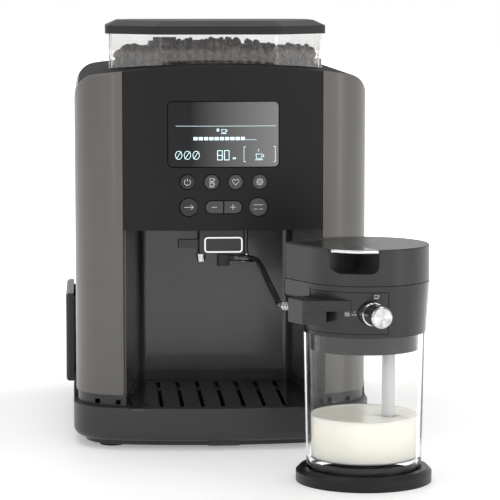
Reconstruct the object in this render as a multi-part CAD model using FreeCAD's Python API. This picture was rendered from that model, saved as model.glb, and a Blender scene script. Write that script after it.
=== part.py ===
import FreeCAD, Part
import math
import os

V = FreeCAD.Vector

# Body shell. X runs to the right, the front faces -Y, Z = 0 is the worktop.
BODY_HALF_W = 121.5
BODY_FRONT = 163.0
BODY_REAR = 170.0
FRONT_BOW_R = 424.0
FRONT_CORNER_R = 42.0
REAR_CORNER_R = 24.0
TOP_Z = 316.0
TOP_ARCH_R = 750.0
TOP_CORNER_R = 20.0
WALL = 3.0
CONSOLE_HALF_W = 82.0
PANEL_REAR = 100.0
TOP_SKIRT = 24.0

# Clearances between fixed covers, around moving pieces, and of shafts in their holes.
SEAM = 0.4
RUN = 0.4
SHAFT_FIT = 0.05

# Base, feet and drip drawer.
FOOT_H = 3.0
FOOT_R = 10.0
FOOT_X = 92.0
FOOT_FRONT_Y = -132.0
FOOT_REAR_Y = 142.0
PLATE_T = 4.0
PLATE_INSET = 10.0
PLATE_TAB_HALF_W = 13.0
PLATE_TAB_REACH = 3.0
BASE_OUT = 2.3
BASE_FRONT_OUT = 8.0
BASE_EDGE_R = 7.0
RIM_Z = 35.0
PANEL_Z = 44.5
DECK_T = 3.5
BASE_SPLIT_Y = -98.0
SHOULDER_INSET = 1.5
SHOULDER_WALL = 4.5
SHOULDER_HOLE = 4.0
SHOULDER_HOLE_X = (87.0, 104.0)
BASIN_HALF_W = 80.0
BASIN_FLOOR = 2.5
GRID_T = 2.0
GRID_GAP = 1.5
GRID_LEDGE = 3.0
GRID_FRONT_LIP = 5.0
SLOT_PITCH = 17.0
SLOT_COUNT = 7
SLOT_W = 3.4
SLOT_ROWS = ((-158.0, -76.0), (-66.0, -32.0))
FLOAT_INSET = 13.0
FLOAT_Y = -149.0
FLOAT_SIDE = 7.0

# Brew bay: an open-fronted recess that narrows towards its back wall.
BAY_TOP = 181.5
BAY_BACK_Y = -22.0
BAY_HALF_W = 81.5
BAY_BACK_HALF_W = 65.0
BAY_WALL = 2.5
BAY_CORNER_R = 6.0
# The float stands in from the side of the well, which the narrower of basin and bay sets.
FLOAT_X = FLOAT_INSET - min(BASIN_HALF_W, BAY_HALF_W)

# Console display and buttons.
LENS_HALF_W = 45.6
LENS_Z0 = 233.5
LENS_Z1 = 287.3
LENS_R = 4.0
LENS_T = 2.0
LENS_SUNK = 0.3
ROW_1_Z = 221.5
ROW_1_X = (-29.6, -9.8, 9.8, 29.6)
ROW_1_R = 6.3
ROW_2_Z = 200.9
ROW_2_X = 28.4
ROW_2_R = 7.7
PILL_HALF_W = 15.0
PILL_HALF_H = 5.3
PILL_SPLIT = 1.0
BUTTON_PROUD = 0.7
BUTTON_DEPTH = 6.0
BUTTON_FLANGE = 1.2
BUTTON_TRAVEL = 1.2
BOARD_T = 1.6
BOARD_HALF_W = 70.0

# Coffee spout, which slides down out of the bay ceiling.
SPOUT_HALF_W = 20.5
SPOUT_FRONT_Y = -156.0
SPOUT_BACK_Y = -118.0
SPOUT_Z0 = 161.4
COLUMN_HALF_W = 15.0
COLUMN_FRONT_Y = -144.0
COLUMN_BACK_Y = -122.0
COLUMN_H = 54.0
SPOUT_TRAVEL = 45.0
GUIDE_WALL = 2.5
BADGE_HALF_W = 15.8
BADGE_Z0 = 163.0
BADGE_Z1 = 176.0
BADGE_R = 3.0
BADGE_RIM = 1.3
BADGE_T = 3.5
TAB_REACH = 16.5
TAB_Z0 = 166.0
TAB_Z1 = 173.0
TAB_DEPTH = 8.0
NOZZLE_X = 17.8
NOZZLE_TOP_R = 4.2
NOZZLE_TIP_R = 3.0
NOZZLE_BORE_R = 1.8
NOZZLE_DROP = 6.9
NOZZLE_Y = -146.0
MILK_NOZZLE_R = 5.3
MILK_NOZZLE_Y = -154.0
MILK_NOZZLE_DROP = 9.4
SPIGOT_L = 4.0

# Grounds drawer in the left side.
DRAWER_Y0 = -10.0
DRAWER_Y1 = 86.0
DRAWER_H = 63.0
DRAWER_X1 = 22.0
DRAWER_WALL = 2.2
FASCIA_T = 6.8
FASCIA_LAP = 4.0
FASCIA_Z0 = 34.0
FASCIA_R = 3.0

# Rear bulkhead and water tank.
BULKHEAD_Y = 98.0
BULKHEAD_T = 3.0
TANK_HALF_W = 78.0
TANK_GAP = 1.2
TANK_WALL = 2.2
TANK_R = 8.0
OUTLET_R = 7.0
OUTLET_H = 8.0
TANK_LID_GAP = 10.0
TANK_HINGE_DOWN = 10.5
TANK_EAR_T = 3.0
TANK_PIN_R = 1.5

# Bean hopper and its lid.
HOPPER_HALF_W = 92.0
HOPPER_FRONT_HALF_W = 50.0
HOPPER_REAR_HALF_W = 74.0
HOPPER_FRONT_Y = -88.0
HOPPER_SHOULDER_Y = -42.0
HOPPER_REAR_SHOULDER_Y = 26.0
HOPPER_REAR_Y = 48.0
HOPPER_R = 8.0
HOPPER_WALL = 2.5
HOPPER_TOP_Z = 340.0
HOPPER_RIM_H = 34.0
HOPPER_FUNNEL_Z = HOPPER_TOP_Z - HOPPER_RIM_H
HOPPER_SILL = 4.0
FUNNEL_SHRINK = 0.32
THROAT_R = 14.0
LID_OUT = 3.0
LID_H = 11.5
LID_BEVEL = 10.0
LID_BEVEL_H = 4.5
LID_ROOM = 7.4
KNOB_X = -44.0
KNOB_Y = -40.0
KNOB_R = 14.0
KNOB_H = 8.0
KNOB_SHAFT_R = 4.0
KNOB_SLEEVE_WALL = 3.0
KNOB_TOP_GAP = 6.0

# Grinder, standing on the bay ceiling.
GRIND_Y = -45.0
GRINDER_R = 36.0
GRINDER_H = 84.0
GRINDER_WALL = 3.0
GRINDER_MOTOR_R = 28.0
GRINDER_MOTOR_H = 44.0
GRINDER_SHAFT_R = 5.0
BURR_R = 26.0
BURR_T = 8.0
BURR_GAP = 3.0
CHUTE_HALF_W = 10.0
CHUTE_MOUTH_TOP = 46.0
CHUTE_MOUTH_LOW = 26.0
CHUTE_FRONT = 28.0
CHUTE_REAR = 8.0

# Brew unit behind the bay: chamber, piston, lead screw, gear pair and motor.
BREW_Y = 34.0
BREW_Z0 = 112.0
BRIDGE_T = 6.0
BREW_H = 88.0
BREW_HALF_W = 32.0
BREW_REAR = 24.0
CHAMBER_R = 24.0
CHAMBER_BORE_R = 20.0
CHAMBER_H = 38.0
PISTON_T = 8.0
PISTON_LIFT = 8.0
PISTON_TRAVEL = 28.0
PISTON_ROD_R = 6.0
ARM_T = 8.0
SCREW_Y = 66.0
SCREW_R = 4.0
NUT_R = 9.0
GEAR_MODULE = 1.25
GEAR_TEETH = 36
PINION_TEETH = 12
GEAR_T = 6.0
DRIVE_MOTOR_R = 12.5
DRIVE_MOTOR_H = 42.0

# Pump, heater, main board, cord gland and screws.
PUMP_X = 64.0
PUMP_R = 18.0
PUMP_L = 84.0
HEATER_X0 = 88.0
HEATER_W = 26.0
HEATER_LENGTH = 90.0
HEATER_H = 104.0
MAIN_BOARD_X0 = 54.0
MAIN_BOARD_W = 54.0
MAIN_BOARD_Z0 = 170.0
MAIN_BOARD_H = 108.0
STANDOFF_H = 5.0
STANDOFF_R = 3.0
GLAND_X = 98.0
GLAND_Z = 62.0
GLAND_R = 7.0
GLAND_BORE_R = 3.75
GLAND_FLANGE_R = 10.0
GLAND_FLANGE_T = 2.0
GLAND_NECK = 6.0
SCREW_PLACES = ((-100.0, 66.0), (-100.0, 268.0), (100.0, 96.0), (100.0, 268.0))
SCREW_HEAD_R = 3.6
SCREW_HEAD_T = 1.8
SCREW_SHANK_R = 1.6
SCREW_L = 8.0

# Milk carafe, standing in front on the right.
CARAFE_X = 101.4
CARAFE_Y = -291.5
CARAFE_FOOT_R = 52.7
CARAFE_FOOT_H = 11.0
CARAFE_FOOT_CHAMFER = 3.0
CARAFE_FOOT_FLOOR = 5.0
JAR_BOTTOM_R = 44.4
JAR_TOP_R = 46.7
JAR_WALL = 4.0
JAR_FLOOR = 2.5
JAR_SKIRT = 11.2
HEAD_R = 50.0
HEAD_LOW_R = 47.4
HEAD_Z0 = 117.0
HEAD_Z1 = 156.5
HEAD_WALL = 3.0
HEAD_DECK_T = 4.0
SLEEVE_Z0 = 103.4
SLEEVE_WALL = 2.0
TONGUE_TURN = 27.0
TONGUE_W = 33.0
TONGUE_REACH = 40.0
TONGUE_R = 5.0
TONGUE_Z0 = 143.0
CARAFE_LID_TOP = 184.4
CARAFE_LID_T = 3.0
POCKET_X0 = -45.3
POCKET_X1 = -17.4
POCKET_BACK = -14.0
POCKET_Z0 = 166.0
POCKET_R = 6.0
FLAP_REAR = 34.0
FLAP_PIN_R = 1.1
BLOCK_Z0 = 128.0
BLOCK_Z1 = 146.0
BLOCK_STEP_Z = 138.0
BLOCK_STEP = 1.5
BLOCK_FRONT = -47.5
BLOCK_RIGHT = -15.4
BLOCK_LOW_RIGHT = -34.0
BLOCK_LEFT = -51.0
BLOCK_ROOT_X = -39.0
BLOCK_ROOT_Y = -40.0
PORT_TIP = (-61.4, -25.8)
PORT_FACE = 11.4
PANEL_FRONT_Z0 = 120.5
PANEL_FRONT_Z1 = 152.0
PANEL_FRONT_RIGHT = 12.6
PANEL_FRONT_T = 7.0
DIAL_TURN = 12.7
DIAL_X = -0.6
DIAL_Z = 136.6
DIAL_BASE_R = 8.8
DIAL_FACE_R = 8.2
DIAL_BASE_L = 5.0
DIAL_L = 25.0
DIAL_ROOT = 5.0
SUCTION_X = 18.0
SUCTION_Y = -8.0
SUCTION_R = 5.0
SUCTION_BORE_R = 3.0
SUCTION_LIFT = 4.0
FITTING_L = 9.0
FITTING_R = 3.6
PORT_Z = 138.5

# Milk hose: its diameter and the points of its free route, chosen by hand.
HOSE_D = 5.5
HOSE_ROUTE = (
    (26.5, -154.0, 158.25),
    (28.6, -194.0, 155.0),
    (31.2, -232.0, 147.9),
    (33.8, -268.0, 141.4),
)

PLATE_TOP = FOOT_H + PLATE_T
DECK_Z = PANEL_Z - DECK_T
CEILING_Z = BAY_TOP + BAY_WALL
BASE_FRONT = BODY_FRONT + BASE_FRONT_OUT
FAR = 400.0


def box(x0, x1, y0, y1, z0, z1):
    return Part.makeBox(x1 - x0, y1 - y0, z1 - z0, V(x0, y0, z0))


def rod(x, y, z, r, length, axis=V(0, 0, 1)):
    return Part.makeCylinder(r, length, V(x, y, z), axis)


def tube(x, y, z, r_out, r_in, length, axis=V(0, 0, 1)):
    return rod(x, y, z, r_out, length, axis).cut(rod(x, y, z, r_in, length, axis))


def prism(wire, z0, z1):
    face = Part.Face(wire)
    face.translate(V(0, 0, z0))
    return face.extrude(V(0, 0, z1 - z0))


def rounded_outline(points, radii):
    """Closed outline through the points, each corner rounded by its own radius."""
    corners = [V(x, y, 0) for x, y in points]
    count = len(corners)
    stretches = []
    for i, (corner, r) in enumerate(zip(corners, radii)):
        before = (corners[i - 1] - corner).normalize()
        after = (corners[(i + 1) % count] - corner).normalize()
        half = before.getAngle(after) / 2
        reach = r / math.tan(half)
        middle = corner + (before + after).normalize() * (r / math.sin(half) - r)
        stretches.append((corner + before * reach, middle, corner + after * reach, r))
    edges = []
    for i, (start, middle, end, r) in enumerate(stretches):
        if r > 0:
            edges.append(Part.Arc(start, middle, end).toShape())
        next_start = stretches[(i + 1) % count][0]
        if (next_start - end).Length > 1e-6:
            edges.append(Part.LineSegment(end, next_start).toShape())
    return Part.Wire(edges)


def rounded_box(x0, x1, y0, y1, z0, z1, r):
    outline = rounded_outline(((x0, y0), (x1, y0), (x1, y1), (x0, y1)), (r, r, r, r))
    return prism(outline, z0, z1)


def bowed_outline(half, crown, back, bow_r, corner_r, back_r, inset):
    """Outline with one bowed side towards +Y, tangent corners and a straight back, drawn in by inset."""
    half, crown, back = half - inset, crown - inset, back + inset
    bow_r, corner_r = bow_r - inset, corner_r - inset
    bow_centre = V(0, crown - bow_r, 0)
    rise = math.sqrt((bow_r - corner_r) ** 2 - (half - corner_r) ** 2)
    corner = V(half - corner_r, bow_centre.y + rise, 0)
    outward = (corner - bow_centre).normalize()
    side = V(half, corner.y, 0)
    meet = bow_centre + outward * bow_r
    mid = corner + (outward + V(1, 0, 0)).normalize() * corner_r

    def mirrored(p):
        return V(-p.x, p.y, 0)

    back_r = max(back_r - inset, 0)
    low = V(half, back + back_r, 0)
    edges = [
        Part.LineSegment(low, side).toShape(),
        Part.Arc(side, mid, meet).toShape(),
        Part.Arc(meet, V(0, crown, 0), mirrored(meet)).toShape(),
        Part.Arc(mirrored(meet), mirrored(mid), mirrored(side)).toShape(),
        Part.LineSegment(mirrored(side), mirrored(low)).toShape(),
    ]
    foot = V(half - back_r, back, 0)
    if back_r > 0:
        turn = V(half - back_r * (1 - math.sqrt(0.5)), back + back_r * (1 - math.sqrt(0.5)), 0)
        edges.append(Part.Arc(mirrored(low), mirrored(turn), mirrored(foot)).toShape())
        edges.append(Part.LineSegment(mirrored(foot), foot).toShape())
        edges.append(Part.Arc(foot, turn, low).toShape())
    else:
        edges.append(Part.LineSegment(mirrored(foot), foot).toShape())
    return Part.Wire(edges)


def plan_prism(inset, z0, z1):
    """Block with the body's plan outline drawn in by inset."""
    outline = bowed_outline(
        BODY_HALF_W, BODY_FRONT, -BODY_REAR, FRONT_BOW_R, FRONT_CORNER_R, REAR_CORNER_R, inset
    )
    outline.rotate(V(0, 0, 0), V(0, 0, 1), 180)
    return prism(outline, z0, z1)


def base_prism(inset, z0, z1):
    """Block with the base's plan outline, a little wider and further forward than the body's."""
    outline = bowed_outline(
        BODY_HALF_W + BASE_OUT,
        BASE_FRONT,
        -BODY_REAR,
        FRONT_BOW_R,
        FRONT_CORNER_R,
        REAR_CORNER_R,
        inset,
    )
    outline.rotate(V(0, 0, 0), V(0, 0, 1), 180)
    return prism(outline, z0, z1)


def arch_block(inset, z0):
    """Block with the body's front silhouette: straight sides, round shoulders, arched top."""
    outline = bowed_outline(
        BODY_HALF_W, TOP_Z, z0 - inset, TOP_ARCH_R, TOP_CORNER_R, 0, inset
    )
    outline.rotate(V(0, 0, 0), V(1, 0, 0), 90)
    face = Part.Face(outline)
    face.translate(V(0, -FAR, 0))
    return face.extrude(V(0, 2 * FAR, 0))


def body_ring(z0):
    """The body's upright wall all round, cut by the front silhouette."""
    ring = plan_prism(0, z0, TOP_Z).cut(plan_prism(WALL, z0, TOP_Z))
    return ring.common(arch_block(0, z0))


def front_y(x):
    """Y of the bowed front face at x."""
    return FRONT_BOW_R - BODY_FRONT - math.sqrt(FRONT_BOW_R**2 - x**2)


def bay_outline(inset):
    """Plan of the bay, open at the front: its straight sides run on past the front of the body."""
    slope = (BAY_HALF_W - BAY_BACK_HALF_W) / (BODY_FRONT + BAY_BACK_Y)
    front = -FAR / 2
    lean = math.hypot(1, slope)
    half_front = BAY_HALF_W + slope * (-BODY_FRONT - front) - inset * lean
    back = BAY_BACK_Y - inset
    half_back = BAY_BACK_HALF_W + slope * inset - inset * lean
    corner = max(BAY_CORNER_R - inset, 0.5)
    points = ((-half_front, front), (half_front, front), (half_back, back), (-half_back, back))
    return rounded_outline(points, (0, 0, corner, corner))


def make_feet():
    places = [(sx * FOOT_X, y) for sx in (-1, 1) for y in (FOOT_FRONT_Y, FOOT_REAR_Y)]
    return Part.makeCompound([rod(x, y, 0, FOOT_R, FOOT_H) for x, y in places])


def make_bottom_plate():
    plate = base_prism(PLATE_INSET, FOOT_H, PLATE_TOP)
    front = -(BASE_FRONT - PLATE_INSET)
    tab = rounded_box(
        -PLATE_TAB_HALF_W,
        PLATE_TAB_HALF_W,
        front - PLATE_TAB_REACH,
        front + PLATE_INSET,
        FOOT_H,
        PLATE_TOP,
        PLATE_TAB_REACH / 2,
    )
    return plate.fuse(tab).removeSplitter()


def base_block():
    """The whole base with its round lower edge, before it is parted into drawer and housing."""
    block = base_prism(0, PLATE_TOP, PANEL_Z)
    low = [e for e in block.Edges if e.BoundBox.ZMax < PLATE_TOP + 1e-6]
    return block.makeFillet(BASE_EDGE_R, low)


def make_base_housing():
    rear = base_block().common(box(-FAR, FAR, BASE_SPLIT_Y, FAR, 0, PANEL_Z))
    tunnel = BASIN_HALF_W + RUN + SEAM
    tunnel_back = BAY_BACK_Y - GRID_GAP + RUN + SEAM
    roof = RIM_Z + RUN + SEAM
    hollow = base_prism(WALL, PLATE_TOP, DECK_Z).common(
        box(-FAR, FAR, BASE_SPLIT_Y + WALL, FAR, 0, DECK_Z)
    )
    kept = box(-tunnel - WALL, tunnel + WALL, -FAR, tunnel_back + WALL, 0, PANEL_Z)
    rear = rear.cut(hollow.cut(kept))
    rear = rear.cut(box(-tunnel, tunnel, -FAR, tunnel_back, 0, roof))
    shoulder = plan_prism(SHOULDER_INSET, RIM_Z + RUN, PANEL_Z)
    shoulder = shoulder.cut(plan_prism(SHOULDER_INSET + SHOULDER_WALL, RIM_Z + RUN, DECK_Z))
    shoulder = shoulder.common(box(-FAR, FAR, -FAR, BASE_SPLIT_Y, 0, PANEL_Z))
    for x in SHOULDER_HOLE_X:
        for side in (-1, 1):
            half = SHOULDER_HOLE / 2
            z0 = RIM_Z + RUN + SHOULDER_HOLE / 4
            hole = box(side * x - half, side * x + half, -FAR, BASE_SPLIT_Y - half, z0, z0 + SHOULDER_HOLE)
            shoulder = shoulder.cut(hole)
    housing = rear.fuse(shoulder).cut(prism(bay_outline(0), RIM_Z, PANEL_Z))
    outlet = rod(0, tank_middle_y(), DECK_Z, OUTLET_R + RUN, DECK_T)
    return housing.cut(outlet).removeSplitter()


def make_drip_drawer():
    floor = PLATE_TOP + RUN
    front = base_block().common(box(-FAR, FAR, -FAR, BASE_SPLIT_Y - SEAM, floor, RIM_Z))
    wings = base_prism(WALL, floor + BASIN_FLOOR, RIM_Z - BASIN_FLOOR)
    wings = wings.common(box(-FAR, FAR, -FAR, BASE_SPLIT_Y, 0, RIM_Z))
    wings = wings.cut(box(-BASIN_HALF_W, BASIN_HALF_W, -FAR, FAR, 0, RIM_Z))
    back = BAY_BACK_Y - GRID_GAP
    basin = box(-BASIN_HALF_W, BASIN_HALF_W, BASE_SPLIT_Y - WALL, back, floor, RIM_Z)
    drawer = front.cut(wings).fuse(basin)
    room = box(-FAR, FAR, -BASE_FRONT + GRID_FRONT_LIP, back - BASIN_FLOOR, 0, RIM_Z)
    seat = prism(bay_outline(GRID_GAP - RUN), RIM_Z - GRID_T, RIM_Z).common(room)
    seat = seat.common(box(-BASIN_HALF_W + WALL, BASIN_HALF_W - WALL, -FAR, FAR, 0, RIM_Z))
    well_room = box(
        -BASIN_HALF_W + 2 * WALL,
        BASIN_HALF_W - 2 * WALL,
        -BASE_FRONT + GRID_FRONT_LIP + GRID_LEDGE,
        back - BASIN_FLOOR - GRID_LEDGE,
        0,
        RIM_Z,
    )
    well = prism(bay_outline(GRID_GAP + GRID_LEDGE), floor + BASIN_FLOOR, RIM_Z).common(well_room)
    return drawer.cut(seat).cut(well).removeSplitter()


def make_cup_grid():
    back = BAY_BACK_Y - GRID_GAP - BASIN_FLOOR - RUN
    room = box(
        -BASIN_HALF_W + WALL + RUN,
        BASIN_HALF_W - WALL - RUN,
        -BASE_FRONT + GRID_FRONT_LIP + RUN,
        back,
        0,
        RIM_Z,
    )
    grid = prism(bay_outline(GRID_GAP), RIM_Z - GRID_T, RIM_Z).common(room)
    half = SLOT_W / 2
    for i in range(SLOT_COUNT):
        x = (i - (SLOT_COUNT - 1) / 2) * SLOT_PITCH
        for y0, y1 in SLOT_ROWS:
            slot = rounded_box(x - half, x + half, y0, y1, RIM_Z - GRID_T, RIM_Z, half * 0.98)
            grid = grid.cut(slot)
    half = FLOAT_SIDE / 2 + 2 * RUN
    window = box(FLOAT_X - half, FLOAT_X + half, FLOAT_Y - half, FLOAT_Y + half, 0, RIM_Z)
    return grid.cut(window)


def make_tray_float():
    half = FLOAT_SIDE / 2
    floor = PLATE_TOP + 2 * RUN + BASIN_FLOOR
    return rounded_box(
        FLOAT_X - half, FLOAT_X + half, FLOAT_Y - half, FLOAT_Y + half, floor, RIM_Z - RUN, FLOAT_SIDE / 7
    )


def make_bay_liner():
    within = plan_prism(WALL + SEAM, PANEL_Z, CEILING_Z)
    liner = prism(bay_outline(-BAY_WALL), PANEL_Z, CEILING_Z).common(within)
    liner = liner.cut(prism(bay_outline(0), PANEL_Z, BAY_TOP))
    hole = box(
        -COLUMN_HALF_W - RUN,
        COLUMN_HALF_W + RUN,
        COLUMN_FRONT_Y - RUN,
        COLUMN_BACK_Y + RUN,
        BAY_TOP,
        CEILING_Z,
    )
    return liner.cut(hole)


def upright_block(x0, x1, z0, z1, r, y0, y1):
    """Block with a rounded outline in the X-Z plane, from y0 back to y1."""
    block = rounded_box(x0, x1, z0, z1, -y1, -y0, r)
    block.rotate(V(0, 0, 0), V(1, 0, 0), 90)
    return block


def make_front_console():
    console = body_ring(BAY_TOP).common(
        box(-CONSOLE_HALF_W, CONSOLE_HALF_W, -FAR, 0, BAY_TOP, TOP_Z)
    )
    console = console.cut(upright_block(-LENS_HALF_W, LENS_HALF_W, LENS_Z0, LENS_Z1, LENS_R, -FAR, 0))
    for x in ROW_1_X:
        console = console.cut(rod(x, 0, ROW_1_Z, ROW_1_R, FAR, V(0, -1, 0)))
    for x in (-ROW_2_X, ROW_2_X):
        console = console.cut(rod(x, 0, ROW_2_Z, ROW_2_R, FAR, V(0, -1, 0)))
    return console.cut(pill(0, -FAR, 0))


def pill(gap, y0, y1):
    r = PILL_HALF_H - gap
    half = PILL_HALF_W - gap
    return upright_block(-half, half, ROW_2_Z - r, ROW_2_Z + r, r * 0.98, y0, y1)


def make_display_lens():
    gap = SEAM / 2
    lens = plan_prism(LENS_SUNK, LENS_Z0, LENS_Z1).cut(plan_prism(LENS_SUNK + LENS_T, LENS_Z0, LENS_Z1))
    window = upright_block(
        -LENS_HALF_W + gap, LENS_HALF_W - gap, LENS_Z0 + gap, LENS_Z1 - gap, LENS_R - gap, -FAR, 0
    )
    return lens.common(window)


def board_front_y():
    """Front of the control board: its switches start where the buttons end at full travel."""
    widest = front_y(ROW_2_X + ROW_2_R)
    return widest + BUTTON_DEPTH + BUTTON_TRAVEL + 2 * RUN


def round_button(x, z, r):
    face = front_y(x)
    cap = rod(x, face - BUTTON_PROUD, z, r - RUN, BUTTON_DEPTH + BUTTON_PROUD, V(0, 1, 0))
    edge = [e for e in cap.Edges if e.BoundBox.YMax < face]
    cap = cap.makeFillet(BUTTON_PROUD / 2, edge)
    flange_front = front_y(abs(x) + r + BUTTON_FLANGE) + WALL + RUN
    flange = rod(x, flange_front, z, r + BUTTON_FLANGE, face + BUTTON_DEPTH - flange_front, V(0, 1, 0))
    return cap.fuse(flange).removeSplitter()


def pill_button(side):
    """One half of the pill-shaped pair: minus on the left, plus on the right."""
    cap = pill(RUN, -BODY_FRONT - BUTTON_PROUD, -BODY_FRONT + BUTTON_DEPTH)
    flange_front = front_y(PILL_HALF_W + BUTTON_FLANGE) + WALL + RUN
    flange = pill(-BUTTON_FLANGE, flange_front, -BODY_FRONT + BUTTON_DEPTH)
    low, high = (PILL_SPLIT / 2, FAR) if side > 0 else (-FAR, -PILL_SPLIT / 2)
    return cap.fuse(flange).common(box(low, high, -FAR, FAR, 0, TOP_Z)).removeSplitter()


def make_control_board():
    front = board_front_y()
    board = box(-BOARD_HALF_W, BOARD_HALF_W, front, front + BOARD_T, CEILING_Z, LENS_Z1)
    for x, z in [(x, ROW_1_Z) for x in ROW_1_X] + [(x, ROW_2_Z) for x in (-ROW_2_X, ROW_2_X)]:
        start = front_y(x) + BUTTON_DEPTH + BUTTON_TRAVEL + RUN
        board = board.fuse(rod(x, start, z, ROW_1_R / 2, front - start + BOARD_T / 2, V(0, 1, 0)))
    pill_start = -BODY_FRONT + BUTTON_DEPTH + BUTTON_TRAVEL + RUN
    for x in (-PILL_HALF_W / 2, PILL_HALF_W / 2):
        switch = rod(x, pill_start, ROW_2_Z, ROW_1_R / 2, front - pill_start + BOARD_T / 2, V(0, 1, 0))
        board = board.fuse(switch)
    glass_back = -BODY_FRONT + LENS_SUNK + LENS_T
    inner = LENS_HALF_W - 2 * LENS_R
    screen_front = front_y(inner) + LENS_SUNK + LENS_T + RUN
    screen = box(-inner, inner, screen_front, front + BOARD_T / 2, LENS_Z0 + LENS_R, LENS_Z1 - LENS_R)
    return board.fuse(screen.cut(box(-inner, inner, -FAR, glass_back, 0, TOP_Z))).removeSplitter()


def make_spout_guide():
    top = CEILING_Z + COLUMN_H - WALL
    outer = box(
        -COLUMN_HALF_W - RUN - GUIDE_WALL,
        COLUMN_HALF_W + RUN + GUIDE_WALL,
        COLUMN_FRONT_Y - RUN - GUIDE_WALL,
        COLUMN_BACK_Y + RUN + GUIDE_WALL,
        CEILING_Z,
        top,
    )
    bore = box(
        -COLUMN_HALF_W - RUN,
        COLUMN_HALF_W + RUN,
        COLUMN_FRONT_Y - RUN,
        COLUMN_BACK_Y + RUN,
        CEILING_Z,
        top,
    )
    return outer.cut(bore)


def badge_outline(grow, y0, y1):
    return upright_block(
        -BADGE_HALF_W - grow,
        BADGE_HALF_W + grow,
        BADGE_Z0 - grow,
        BADGE_Z1 + grow,
        BADGE_R + grow,
        y0,
        y1,
    )


def make_spout_body():
    top = BAY_TOP - RUN
    head = rounded_box(-SPOUT_HALF_W, SPOUT_HALF_W, SPOUT_FRONT_Y, SPOUT_BACK_Y, SPOUT_Z0, top, 4 * WALL / 3)
    column = box(
        -COLUMN_HALF_W, COLUMN_HALF_W, COLUMN_FRONT_Y, COLUMN_BACK_Y, SPOUT_Z0 + WALL, CEILING_Z + COLUMN_H
    )
    tab = rounded_box(
        -SPOUT_HALF_W - TAB_REACH,
        0,
        NOZZLE_Y - TAB_DEPTH / 2,
        NOZZLE_Y + TAB_DEPTH / 2,
        TAB_Z0,
        TAB_Z1,
        TAB_DEPTH / 4,
    )
    plate = badge_outline(-BADGE_RIM, SPOUT_FRONT_Y - BADGE_T + BADGE_RIM / 2, SPOUT_FRONT_Y + WALL)
    body = head.fuse(column).fuse(tab).fuse(plate).removeSplitter()
    hollow = box(
        -COLUMN_HALF_W + GUIDE_WALL,
        COLUMN_HALF_W - GUIDE_WALL,
        COLUMN_FRONT_Y + GUIDE_WALL,
        COLUMN_BACK_Y - GUIDE_WALL,
        BAY_TOP,
        CEILING_Z + COLUMN_H,
    )
    return body.cut(hollow)


def make_badge_frame():
    frame = badge_outline(0, SPOUT_FRONT_Y - BADGE_T, SPOUT_FRONT_Y)
    return frame.cut(badge_outline(-BADGE_RIM, -FAR, 0))


def make_coffee_nozzles():
    nozzles = []
    for side in (-1, 1):
        at = V(side * NOZZLE_X, NOZZLE_Y, SPOUT_Z0 - NOZZLE_DROP)
        cone = Part.makeCone(NOZZLE_TIP_R, NOZZLE_TOP_R, NOZZLE_DROP, at)
        nozzles.append(cone.cut(rod(at.x, at.y, at.z, NOZZLE_BORE_R, NOZZLE_DROP)))
    return Part.makeCompound(nozzles)


def make_milk_nozzle():
    z0 = SPOUT_Z0 - MILK_NOZZLE_DROP
    nozzle = rod(0, MILK_NOZZLE_Y, z0, MILK_NOZZLE_R, MILK_NOZZLE_DROP)
    bore = rod(0, MILK_NOZZLE_Y, z0, MILK_NOZZLE_R / 2, MILK_NOZZLE_DROP * 0.8)
    start = hose_start()
    spigot = rod(0, start.y, start.z, HOSE_D / 2, start.x, V(1, 0, 0))
    return nozzle.fuse(spigot).cut(bore).removeSplitter()


def hose_start():
    """The end of the milk nozzle's spigot, where the hose begins."""
    return V(MILK_NOZZLE_R + SPIGOT_L, MILK_NOZZLE_Y, SPOUT_Z0 - HOSE_D / 2 - RUN)


def carafe_point(x, y, z):
    return V(CARAFE_X + x, CARAFE_Y + y, z)


def port_face_middle():
    step = PORT_FACE / 2 * math.sqrt(0.5)
    return carafe_point(PORT_TIP[0] + step, PORT_TIP[1] + step, PORT_Z)


PORT_AXIS = V(math.sqrt(0.5), -math.sqrt(0.5), 0)


def make_hose_fitting():
    start = port_face_middle() - PORT_AXIS * FITTING_L
    body = Part.makeCylinder(FITTING_R * 0.8, FITTING_L, start, PORT_AXIS)
    for share in (0.1, 0.4, 0.7):
        ring_start = start + PORT_AXIS * (FITTING_L * share)
        ring = Part.makeCylinder(FITTING_R, FITTING_L * 0.2, ring_start, PORT_AXIS)
        body = body.fuse(ring)
    return body.removeSplitter()


def hose_points():
    end = port_face_middle() - PORT_AXIS * FITTING_L
    return [hose_start()] + [V(*p) for p in HOSE_ROUTE] + [end - PORT_AXIS * (FITTING_L / 2), end]


def make_milk_hose():
    """Tube along straight runs joined by tangent arcs as large as the runs allow."""
    points = hose_points()
    edges = []
    here = points[0]
    for before, corner, after in zip(points, points[1:], points[2:]):
        back = (before - corner)
        ahead = (after - corner)
        half = back.getAngle(ahead) / 2
        reach = 0.45 * min(back.Length, ahead.Length)
        radius = reach * math.tan(half)
        print("hose bend radius", round(radius, 1))
        back.normalize()
        ahead.normalize()
        start, end = corner + back * reach, corner + ahead * reach
        middle = corner + (back + ahead).normalize() * (radius / math.sin(half) - radius)
        edges.append(Part.LineSegment(here, start).toShape())
        edges.append(Part.Arc(start, middle, end).toShape())
        here = end
    edges.append(Part.LineSegment(here, points[-1]).toShape())
    path = Part.Wire(edges)
    length = path.Length
    section = Part.Wire([Part.Circle(points[0], points[1] - points[0], HOSE_D / 2).toShape()])
    hose = path.makePipeShell([section], True, False)
    area = math.pi * HOSE_D**2 / 4
    print("hose length", round(length, 1), "volume share", round(hose.Volume / (area * length), 4))
    return hose


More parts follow.
